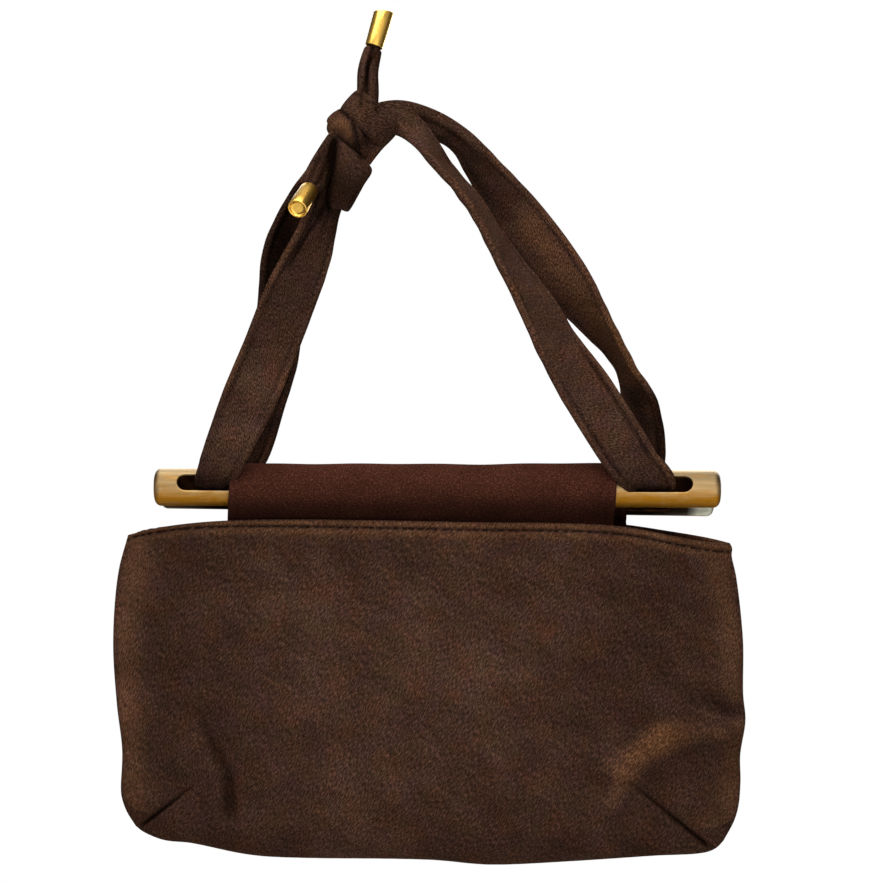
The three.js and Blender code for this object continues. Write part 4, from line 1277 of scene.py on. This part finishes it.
def painted_strap_shade(points):
    """Painted shade of the strap: darkness * exp(-(distance / half width)^2) of each mark, a painted
    highlight where negative.
    """
    x, y, z = points.reshape(-1, 3).T
    dark = np.zeros_like(x)
    worn = np.zeros_like(x)
    for chain, half, darkness, side in PAINTED_STRAP_SHADE:
        away, _ = chain_distance(chain, x, z)
        mark = darkness * bell(away, half) * (y * side > MARK_FROM)
        dark = np.maximum(dark, mark)
        worn = np.minimum(worn, mark)
    return dark + worn


def make_band(name, rows, material, closed=False, **options):
    """A piece of the strap from its rows."""
    points, faces, maps, shade = band_surface(rows, closed, **options)
    faces, maps = outward(points, faces, maps)
    # The band's own shade, with the painted shade and highlight of the marks
    shade = np.clip(shade + painted_strap_shade(points), -1, 1)
    return make_piece(name, points, faces, maps, material, "strap", shade)


def make_fold(name, grid, material):
    """A fold of cloth in the knot: a smooth patch through a grid of points, with a wall behind it."""
    table = np.array(grid, float)
    rows, columns = table.shape[:2]
    down = np.linspace(0, rows - 1, (rows - 1) * FOLD_STEPS + 1)
    along = np.linspace(0, columns - 1, (columns - 1) * FOLD_STEPS + 1)
    lines = smooth_rows(table.reshape(rows, -1), down).reshape(len(down), columns, 3)
    turned = smooth_rows(lines.transpose(1, 0, 2).reshape(columns, -1), along)
    points = turned.reshape(len(along), len(down), 3).transpose(1, 0, 2)
    places, spots = grid_faces(*points.shape[:2])
    spread = np.stack([run_across(points), -run_length(points)], -1).reshape(-1, 2)
    flat = points.reshape(-1, 3)
    first, second, third = (flat[places[:, k]] for k in (0, 1, 2))
    if np.sum(np.cross(second - first, third - first)[:, 1]) > 0:
        places, spots = places[:, ::-1], spots[:, ::-1]
    # Painted shade and highlight of the marks
    shade = painted_strap_shade(flat)
    piece = make_piece(name, points, [places], [spread[spots]], material, "strap", shade)
    add_wall(piece, FOLD_WALL)
    return piece


# Tips


def tip_profile(mouth, length):
    """Profile of a tip as (way along, radius): bore, rounded lip, flared wall, rim and sunk end."""
    radius = mouth + TIP_FLARE / 2
    bore = mouth - TIP_WALL
    recess = radius - TIP_WALL
    soft = np.linspace(0, np.pi / 2, TIP_ARC_POINTS)
    lip_turn = TIP_LIP - TIP_LIP * np.sin(soft), TIP_LIP - TIP_LIP * np.cos(soft)
    return np.vstack(
        [
            [(TIP_BORE_DEPTH, bore * share) for share in TIP_BORE_SHARES],
            [(TIP_BORE_LEAD, bore)],
            np.stack([lip_turn[0], bore + lip_turn[1]], -1),
            np.stack([lip_turn[1], mouth - lip_turn[0]], -1)[1:],
            [(length * share, mouth + share * TIP_FLARE / 2) for share in TIP_WALL_SHARES],
            np.stack([length - TIP_RIM * (1 - np.sin(soft)), radius - TIP_RIM * (1 - np.cos(soft))], -1),
            [(length - down, recess - narrow) for down, narrow in TIP_RECESS],
            [(length - TIP_INSET + rise, recess * share) for rise, share in TIP_END],
        ]
    )


def make_tip(name, tip, node, sizes, material, slant=0.0):
    """A turned cup: its profile carried round its axis, with a sunk end and a bore for the tail."""
    place, way, _ = tip
    mouth = sizes.tip_diameter / MM / 2
    length = sizes.tip_length / MM
    profile = tip_profile(mouth, length)
    angle = np.arange(TIP_SIDES) * 2 * np.pi / TIP_SIDES
    body = profile[1:-1]
    along, radius = body[:, :1], body[:, 1:]
    ring = np.stack(np.broadcast_arrays(along, radius * np.cos(angle), radius * np.sin(angle)), -1)
    points = np.vstack([ring.reshape(-1, 3), [(profile[0, 0], 0, 0)], [(profile[-1, 0], 0, 0)]])
    points[:, 0] += slant * points[:, 1] * smoothstep(TIP_SLANT_FROM, 1, points[:, 0] / length)
    axis = unit(np.array(way, float))
    side = unit(np.cross(axis, (0.0, 0.0, 1.0) if abs(axis[2]) < TIP_STEEP else (0.0, 1.0, 0.0)))
    up = np.cross(axis, side)
    points = np.array(place) + points[:, :1] * axis + points[:, 1:2] * side + points[:, 2:] * up
    places, spots = grid_faces(len(body), TIP_SIDES, wrap_columns=True)
    around = np.linspace(0, 2 * np.pi * (mouth + TIP_FLARE / 2), TIP_SIDES + 1)
    spread = np.stack(np.meshgrid(run_length(body), around, indexing="ij"), -1).reshape(-1, 2)
    total = len(body) * TIP_SIDES
    fan = np.zeros((TIP_SIDES, 3, 2))
    fan[:, :, 1] = np.stack([around[:-1], around[1:], around[:-1]], -1)
    faces = [places] + end_fans(TIP_SIDES, total - TIP_SIDES, total)
    faces, maps = outward(points, faces, [spread[spots], fan, fan])
    return make_piece(name, points, faces, maps, material, node)


# Materials


def new_material(name):
    """An empty node material with a Principled shader, and its node tree."""
    material = bpy.data.materials.new(name)
    material.use_nodes = True
    tree = material.node_tree
    return material, tree, tree.nodes["Principled BSDF"]


def plug(tree, value, socket):
    """Links a node's output to a socket, or sets the socket to a constant."""
    if isinstance(value, bpy.types.NodeSocket):
        tree.links.new(value, socket)
    else:
        socket.default_value = value


def set_finish(shader, finish):
    """Sets sockets of a shader that are the same all over the surface."""
    for socket, value in finish.items():
        shader.inputs[socket].default_value = value


def calc(tree, operation, first, second=0.0):
    """A Math node of two values."""
    node = tree.nodes.new("ShaderNodeMath")
    node.operation = operation
    plug(tree, first, node.inputs[0])
    plug(tree, second, node.inputs[1])
    return node.outputs[0]


def times(tree, first, *others):
    """A product of two values or more."""
    for other in others:
        first = calc(tree, "MULTIPLY", first, other)
    return first


def between(tree, value, low, high, to_low=0.0, to_high=1.0):
    """A value moved from one range to another and held there."""
    node = tree.nodes.new("ShaderNodeMapRange")
    for place, entry in enumerate((value, low, high, to_low, to_high)):
        plug(tree, entry, node.inputs[place])
    return node.outputs[0]


def mixed(tree, factor, first, second, blend="MIX"):
    """Two colours mixed by a factor."""
    node = tree.nodes.new("ShaderNodeMix")
    node.data_type = "RGBA"
    node.blend_type = blend
    plug(tree, factor, node.inputs[0])
    plug(tree, first, node.inputs[6])
    plug(tree, second, node.inputs[7])
    return node.outputs[2]


def noise(tree, vector, scale, detail=2.0, roughness=0.5, distortion=0.0):
    """Values of a noise texture."""
    node = tree.nodes.new("ShaderNodeTexNoise")
    plug(tree, vector, node.inputs["Vector"])
    set_finish(node, {"Scale": scale, "Detail": detail, "Roughness": roughness, "Distortion": distortion})
    return node.outputs[0]


def mapped(tree, source, turn=(0.0, 0.0, 0.0), scale=(1.0, 1.0, 1.0)):
    """Coordinates turned by angles in degrees and scaled."""
    node = tree.nodes.new("ShaderNodeMapping")
    node.vector_type = "TEXTURE"
    plug(tree, source, node.inputs["Vector"])
    node.inputs["Rotation"].default_value = [math.radians(a) for a in turn]
    node.inputs["Scale"].default_value = scale
    return node.outputs[0]


def cloth_map(tree):
    """The piece's own map, in metres of cloth."""
    node = tree.nodes.new("ShaderNodeUVMap")
    node.uv_map = "weave"
    return node.outputs[0]


def object_place(tree):
    """Place in the object's own frame, in metres."""
    return tree.nodes.new("ShaderNodeTexCoord").outputs["Object"]


def pattern(tree, place, look):
    """A noise moved to a range: the look is (noise, range), as the tables of the materials give it."""
    texture, reach = look
    return between(tree, noise(tree, place, *texture), *reach)


def shade_mark(tree):
    """Painted shade of the cloth: above 0 darker in creases, stitched grooves and shadowed places, below 0
    lighter as painted highlight.
    """
    node = tree.nodes.new("ShaderNodeAttribute")
    node.attribute_name = "shade"
    return node.outputs["Fac"]


def bump(tree, height, strength, distance):
    """A bump from a height in units of the distance."""
    node = tree.nodes.new("ShaderNodeBump")
    set_finish(node, {"Strength": strength, "Distance": distance})
    plug(tree, height, node.inputs["Height"])
    return node.outputs[0]


def rgba(colour):
    """A colour property with full opacity."""
    return (*colour, 1.0)


def tinted(tree, colour, light):
    """A colour multiplied by a grey value."""
    tint = tree.nodes.new("ShaderNodeCombineColor")
    for socket in tint.inputs:
        plug(tree, light, socket)
    return mixed(tree, 1.0, colour, tint.outputs[0], "MULTIPLY")


def wool_material(colours, name="brushed wool", stroke=1.0, contrast=1.0, tone=1.0):
    """Brushed wool twill: short slanted strokes over heather patches, with a faint sheen.

    Stroke scales the brushing, contrast its strength, and tone the lightness of the cloth.
    """
    material, tree, shader = new_material(name)
    weave = cloth_map(tree)
    long, wide = STROKE_SIZE
    slant = mapped(tree, weave, STROKE_TURN, (long * stroke, wide * stroke, 1.0))
    strokes = noise(tree, slant, *STROKE_NOISE)
    grains = noise(tree, weave, *GRAIN_NOISE)
    height = calc(tree, "ADD", times(tree, strokes, STROKE_SHARE), times(tree, grains, GRAIN_SHARE))
    red = pattern(tree, weave, WOOL_RED)
    grey = pattern(tree, mapped(tree, weave, GREY_TURN), WOOL_GREY)
    mark = shade_mark(tree)
    colour = mixed(tree, red, rgba(colours.wool), rgba(colours.wool_red))
    colour = mixed(tree, grey, colour, rgba(colours.wool_grey))
    # Painted highlight: below 0 the shade mixes in the wool's highlight colour
    colour = mixed(tree, between(tree, mark, 0.0, -1.0, 0.0, HIGHLIGHT_MOST), colour, rgba(colours.wool_highlight))
    lit = calc(tree, "POWER", between(tree, height, *STROKE_SPAN), STROKE_POWER)
    light = between(tree, lit, 0.0, 1.0, 1 - STROKE_DARK * contrast, 1 + STROKE_LIGHT * contrast)
    texture, (low, high, dim, bright) = WOOL_SLOW
    slow = between(tree, noise(tree, object_place(tree), *texture), low, high, dim * tone, bright * tone)
    patch = pattern(tree, mapped(tree, weave, HEATHER_TURN, HEATHER_SIZE), WOOL_HEATHER)
    # Painted shade: above 0 the shade darkens the cloth
    deep = between(tree, mark, 0.0, 1.0, 1.0, WOOL_DEEP)
    light = times(tree, light, times(tree, slow, patch), deep)
    plug(tree, tinted(tree, colour, light), shader.inputs["Base Color"])
    set_finish(shader, WOOL_FINISH)
    plug(tree, bump(tree, height, STROKE_BUMP * contrast, STROKE_DEPTH), shader.inputs["Normal"])
    return material


def sleeve_material(colours):
    """Fine plain-woven lining cloth: tiny crossed threads with light specks."""
    material, tree, shader = new_material("sleeve cloth")
    weave = cloth_map(tree)
    turns = ((0, 0, 0), (0, 0, 90))
    warp, weft = (noise(tree, mapped(tree, weave, turn, THREAD_SIZE), *THREAD_NOISE) for turn in turns)
    threads = calc(tree, "MAXIMUM", warp, weft)
    light = calc(tree, "ADD", between(tree, threads, *THREAD_SPAN), pattern(tree, weave, SLEEVE_SPECKS))
    # Painted shade: above 0 the shade darkens the cloth
    deep = between(tree, shade_mark(tree), 0.0, 1.0, 1.0, SLEEVE_DEEP)
    light = times(tree, light, pattern(tree, weave, SLEEVE_SLOW), deep)
    plug(tree, tinted(tree, rgba(colours.sleeve), light), shader.inputs["Base Color"])
    set_finish(shader, SLEEVE_FINISH)
    plug(tree, bump(tree, threads, THREAD_BUMP, THREAD_DEPTH), shader.inputs["Normal"])
    return material


def brass_material(colours):
    """Satin brass worn by handling: fine streaks along the tube, a top darkened as painted shade under a
    pale edge of painted highlight, and orange stains that deepen below as painted shade.

    The lower part of the back tube, where it faces the front tube, is painted dark as shade, and pale near
    its right end.
    """
    material, tree, shader = new_material("worn brass")
    place = object_place(tree)
    textures = (BRASS_STREAKS, BRASS_SCRATCHES, BRASS_BLOTS)
    streaks, scratches, blots = (
        noise(tree, mapped(tree, place, scale=size), *texture) for size, texture in textures
    )
    parts = tree.nodes.new("ShaderNodeSeparateXYZ")
    plug(tree, place, parts.inputs[0])
    x, y, z = parts.outputs
    # Painted shade on the top, and a painted highlight on its very edge
    top = between(tree, z, TUBE_MIDDLE_Z, TUBE_TOP_Z)
    low = between(tree, z, TUBE_MIDDLE_Z, TUBE_BROWN_Z)
    edge = between(tree, z, TUBE_EDGE_Z - TUBE_EDGE_EASE, TUBE_EDGE_Z)
    # Stains, pushed towards the foot as painted shade
    stain_and_shade = between(tree, calc(tree, "ADD", blots, times(tree, low, FOOT_SHADE)), *STAIN_SPAN)
    colour = mixed(tree, top, rgba(colours.brass), rgba(colours.brass_top))
    colour = mixed(tree, edge, colour, BRASS_EDGE)
    colour = mixed(tree, stain_and_shade, colour, rgba(colours.stain_and_shade))
    # Painted shade where the back tube faces the front one, pale near its right end
    pale = between(tree, x, PALE_END_X - PALE_END_EASE, PALE_END_X)
    under = mixed(tree, pale, BACK_TUBE_DARK, BACK_TUBE_PALE)
    facing = between(tree, y, TUBE_FACE_Y, TUBE_FACE_Y - TUBE_FACE_EASE)
    second = between(tree, y, 0.0, TUBE_FACE_EASE)
    off_end = between(tree, x, END_FACE_X - END_FACE_EASE, END_FACE_X, 1.0, 0.0)
    colour = mixed(tree, times(tree, facing, second, low, off_end), colour, under)
    light = between(tree, streaks, *STREAK_LIGHT)
    plug(tree, tinted(tree, colour, light), shader.inputs["Base Color"])
    set_finish(shader, METAL_FINISH)
    rough = calc(tree, "ADD", between(tree, scratches, *SCRATCH_ROUGH), times(tree, stain_and_shade, STAIN_ROUGH))
    plug(tree, rough, shader.inputs["Roughness"])
    plug(tree, bump(tree, scratches, SCRATCH_BUMP, SCRATCH_DEPTH), shader.inputs["Normal"])
    return material


def bore_material():
    """Dark tarnish inside a tube: brown-black with rusty blots. On the faces round the inner slots it is
    painted shade.
    """
    material, tree, shader = new_material("tarnished bore and slot shade")
    blots = pattern(tree, object_place(tree), BORE_BLOTS)
    plug(tree, mixed(tree, blots, BORE_DARK, BORE_RUST), shader.inputs["Base Color"])
    set_finish(shader, BORE_FINISH)
    return material


def gilt_material(colours):
    """Polished brass of the tips: fine rub marks and a slightly uneven shine."""
    material, tree, shader = new_material("polished brass")
    place = object_place(tree)
    cloud = noise(tree, place, *GILT_CLOUD)
    rub = noise(tree, mapped(tree, place, RUB_TURN, RUB_SIZE), *RUB_NOISE)
    light = between(tree, cloud, *GILT_LIGHT)
    plug(tree, tinted(tree, rgba(colours.gilt), light), shader.inputs["Base Color"])
    set_finish(shader, METAL_FINISH)
    plug(tree, between(tree, rub, *RUB_ROUGH), shader.inputs["Roughness"])
    plug(tree, bump(tree, cloud, GILT_BUMP, GILT_DEPTH), shader.inputs["Normal"])
    return material


def strap_material(colours):
    """The same wool on the strap: finer and stronger brushing on slightly darker cloth."""
    return wool_material(colours, "strap wool", STRAP_STROKE, STRAP_CONTRAST, STRAP_TONE)


def finish_named(name, maker, *settings):
    """A material made once and used again."""
    return bpy.data.materials.get(name) or maker(*settings)


# Operators


class PURSE_OT_panels(bpy.types.Operator):
    """Sew the front and the back panel of the bag"""

    bl_idname = "purse.panels"
    bl_label = "Bag panels"

    def execute(self, context):
        sizes, colours = context.scene.purse_sizes, context.scene.purse_colours
        wool = finish_named("brushed wool", wool_material, colours)
        front = make_panel("bag_front", -1, FRONT_TOP_EDGE, FRONT_FOLDS, "front_panel", sizes, wool)
        back = make_panel("bag_back", 1, BACK_TOP_EDGE, BACK_FOLDS, "back_panel", sizes, wool)
        return {"FINISHED"}


class PURSE_OT_sleeves(bpy.types.Operator):
    """Lay a sleeve of cloth round each tube"""

    bl_idname = "purse.sleeves"
    bl_label = "Sleeves"

    def execute(self, context):
        sizes, colours = context.scene.purse_sizes, context.scene.purse_colours
        cloth = finish_named("sleeve cloth", sleeve_material, colours)
        front = make_sleeve("sleeve_front", -1, FRONT_LOOP, "front_sleeve", sizes, cloth)
        back = make_sleeve("sleeve_back", 1, BACK_LOOP, "back_sleeve", sizes, cloth)
        return {"FINISHED"}


class PURSE_OT_tubes(bpy.types.Operator):
    """Make the two slotted brass tubes"""

    bl_idname = "purse.tubes"
    bl_label = "Brass tubes"

    def execute(self, context):
        sizes, colours = context.scene.purse_sizes, context.scene.purse_colours
        brass = finish_named("worn brass", brass_material, colours)
        bore = finish_named("tarnished bore and slot shade", bore_material)
        make_tube("tube_front", -1, "front_tube", sizes, brass, bore)
        make_tube("tube_back", 1, "back_tube", sizes, brass, bore)
        return {"FINISHED"}


class PURSE_OT_strap(bpy.types.Operator):
    """Run the strap through the tubes and tie its knot"""

    bl_idname = "purse.strap"
    bl_label = "Strap and knot"

    def execute(self, context):
        sizes, colours = context.scene.purse_sizes, context.scene.purse_colours
        wool = finish_named("strap wool", strap_material, colours)
        loop = FRONT_LEFT + pass_rows(sizes, *LEFT_PASS) + BACK_LEFT + BACK_HANG + BACK_RIGHT
        loop = loop + pass_rows(sizes, *RIGHT_PASS)[::-1] + FRONT_RIGHT + FRONT_HANG + INTO_KNOT
        lower = LOWER_TAIL + tip_rows(LOWER_TIP, sizes)
        upper = UPPER_TAIL + tip_rows(UPPER_TIP, sizes)
        strap = make_band("strap_loop", loop, wool, closed=True, grooves=STRAP_GROOVES)
        knot = [
            make_band("knot_wrap", ring_rows(WRAP), wool, closed=True, gather=0, puff=WRAP["puff"]),
            make_band("knot_roll", ring_rows(ROLL), wool, closed=True, gather=0, puff=ROLL["puff"]),
            make_fold("knot_fold", ROLL_FOLD, wool),
            make_fold("knot_ear", EAR, wool),
            make_band("lower_tail", lower, wool, grooves=LOWER_TAIL_GROOVES, gather=0, puff=LOWER_PUFF),
            make_band("upper_tail", upper, wool, grooves=UPPER_TAIL_GROOVES, gather=0, puff=UPPER_PUFF),
        ]
        return {"FINISHED"}


class PURSE_OT_tips(bpy.types.Operator):
    """Turn the two brass tips"""

    bl_idname = "purse.tips"
    bl_label = "Brass tips"

    def execute(self, context):
        sizes, colours = context.scene.purse_sizes, context.scene.purse_colours
        gilt = finish_named("polished brass", gilt_material, colours)
        make_tip("tip_lower", LOWER_TIP, "lower_tip", sizes, gilt)
        make_tip("tip_upper", UPPER_TIP, "upper_tip", sizes, gilt, UPPER_SLANT)
        return {"FINISHED"}


def add_light(name, place, size, power):
    """A soft square light at a place, facing the aim point."""
    lamp = bpy.data.lights.new(name, "AREA")
    lamp.shape = "SQUARE"
    lamp.size = size
    lamp.energy = power
    light = bpy.data.objects.new(name, lamp)
    bpy.context.scene.collection.objects.link(light)
    way = np.array(LIGHT_AIM) - np.array(place)
    pitch = math.acos(-way[2] / np.linalg.norm(way))
    light.location = place
    light.rotation_euler = (pitch, 0.0, math.atan2(way[1], way[0]) - math.pi / 2)


def add_floor():
    """A round pale floor: rings of points about the middle, closed by a fan."""
    reach = FLOOR_RADIUS * (np.arange(1, FLOOR_RINGS + 1) / FLOOR_RINGS)[:, None]
    angle = np.arange(FLOOR_SIDES) * 2 * np.pi / FLOOR_SIDES
    level = np.full((FLOOR_RINGS, 1), FLOOR_Z)
    points = np.stack(np.broadcast_arrays(reach * np.cos(angle), reach * np.sin(angle), level), -1)
    points = np.vstack([points.reshape(-1, 3), [(0, 0, FLOOR_Z)]])
    places, _ = grid_faces(FLOOR_RINGS, FLOOR_SIDES, wrap_columns=True)
    column = np.arange(FLOOR_SIDES)
    middle = np.full(FLOOR_SIDES, FLOOR_RINGS * FLOOR_SIDES)
    fan = np.stack([column, (column + 1) % FLOOR_SIDES, middle], -1)
    mesh = bpy.data.meshes.new("floor")
    mesh.from_pydata(points.tolist(), [], places[:, ::-1].tolist() + fan.tolist())
    material, tree, shader = new_material("pale floor")
    cloud = pattern(tree, object_place(tree), FLOOR_CLOUD)
    plug(tree, mixed(tree, cloud, FLOOR_DIM, FLOOR_PALE), shader.inputs["Base Color"])
    set_finish(shader, FLOOR_FINISH)
    mesh.materials.append(material)
    floor = bpy.data.objects.new("floor", mesh)
    bpy.context.scene.collection.objects.link(floor)


def add_camera(scene):
    """The camera, level and square to the front of the purse."""
    lens = bpy.data.cameras.new("camera")
    lens.lens = CAMERA_LENS
    lens.sensor_width = CAMERA_SENSOR
    lens.clip_start, lens.clip_end = CAMERA_CLIP
    camera = bpy.data.objects.new("camera", lens)
    scene.collection.objects.link(camera)
    camera.location = CAMERA_PLACE
    camera.rotation_euler = (math.pi / 2, 0.0, 0.0)
    scene.camera = camera


class PURSE_OT_stage(bpy.types.Operator):
    """Set the pale floor, the soft lights and the camera"""

    bl_idname = "purse.stage"
    bl_label = "Stage and camera"

    def execute(self, context):
        scene = context.scene
        scene.view_settings.view_transform = "Standard"
        world = bpy.data.worlds.new("studio")
        world.use_nodes = True
        tree = world.node_tree
        back = tree.nodes["Background"]
        seen = tree.nodes.new("ShaderNodeLightPath").outputs["Is Camera Ray"]
        plug(tree, mixed(tree, seen, SURROUND, BACKDROP), back.inputs["Color"])
        back.inputs["Strength"].default_value = 1.0
        scene.world = world
        add_floor()
        for light in LIGHTS:
            add_light(*light)
        add_camera(scene)
        return {"FINISHED"}


OPERATORS = (
    PURSE_OT_panels, PURSE_OT_sleeves, PURSE_OT_tubes, PURSE_OT_strap, PURSE_OT_tips, PURSE_OT_stage
)


class PURSE_PT_build(bpy.types.Panel):
    """Sizes, colours and building steps of the purse"""

    bl_idname = "PURSE_PT_build"
    bl_label = "Soft wool purse"
    bl_space_type = "VIEW_3D"
    bl_region_type = "UI"
    bl_category = "Purse"

    def draw(self, context):
        for group in (context.scene.purse_sizes, context.scene.purse_colours):
            for name in group.bl_rna.properties.keys():
                if name not in ("rna_type", "name"):
                    self.layout.prop(group, name)
        for operator in OPERATORS:
            self.layout.operator(operator.bl_idname)


CLASSES = (PurseSizes, PurseColours) + OPERATORS + (PURSE_PT_build,)


def register():
    """Registers the classes and hangs the sizes and colours on the scene."""
    for item in CLASSES:
        bpy.utils.register_class(item)
    bpy.types.Scene.purse_sizes = PointerProperty(type=PurseSizes)
    bpy.types.Scene.purse_colours = PointerProperty(type=PurseColours)


def unregister():
    """Takes the sizes, the colours and the classes away again."""
    del bpy.types.Scene.purse_colours
    del bpy.types.Scene.purse_sizes
    for item in reversed(CLASSES):
        bpy.utils.unregister_class(item)


def main():
    """Builds every piece in order."""
    register()
    bpy.ops.purse.panels()
    bpy.ops.purse.sleeves()
    bpy.ops.purse.tubes()
    bpy.ops.purse.strap()
    bpy.ops.purse.tips()
    bpy.ops.purse.stage()


if __name__ == "__main__":
    main()
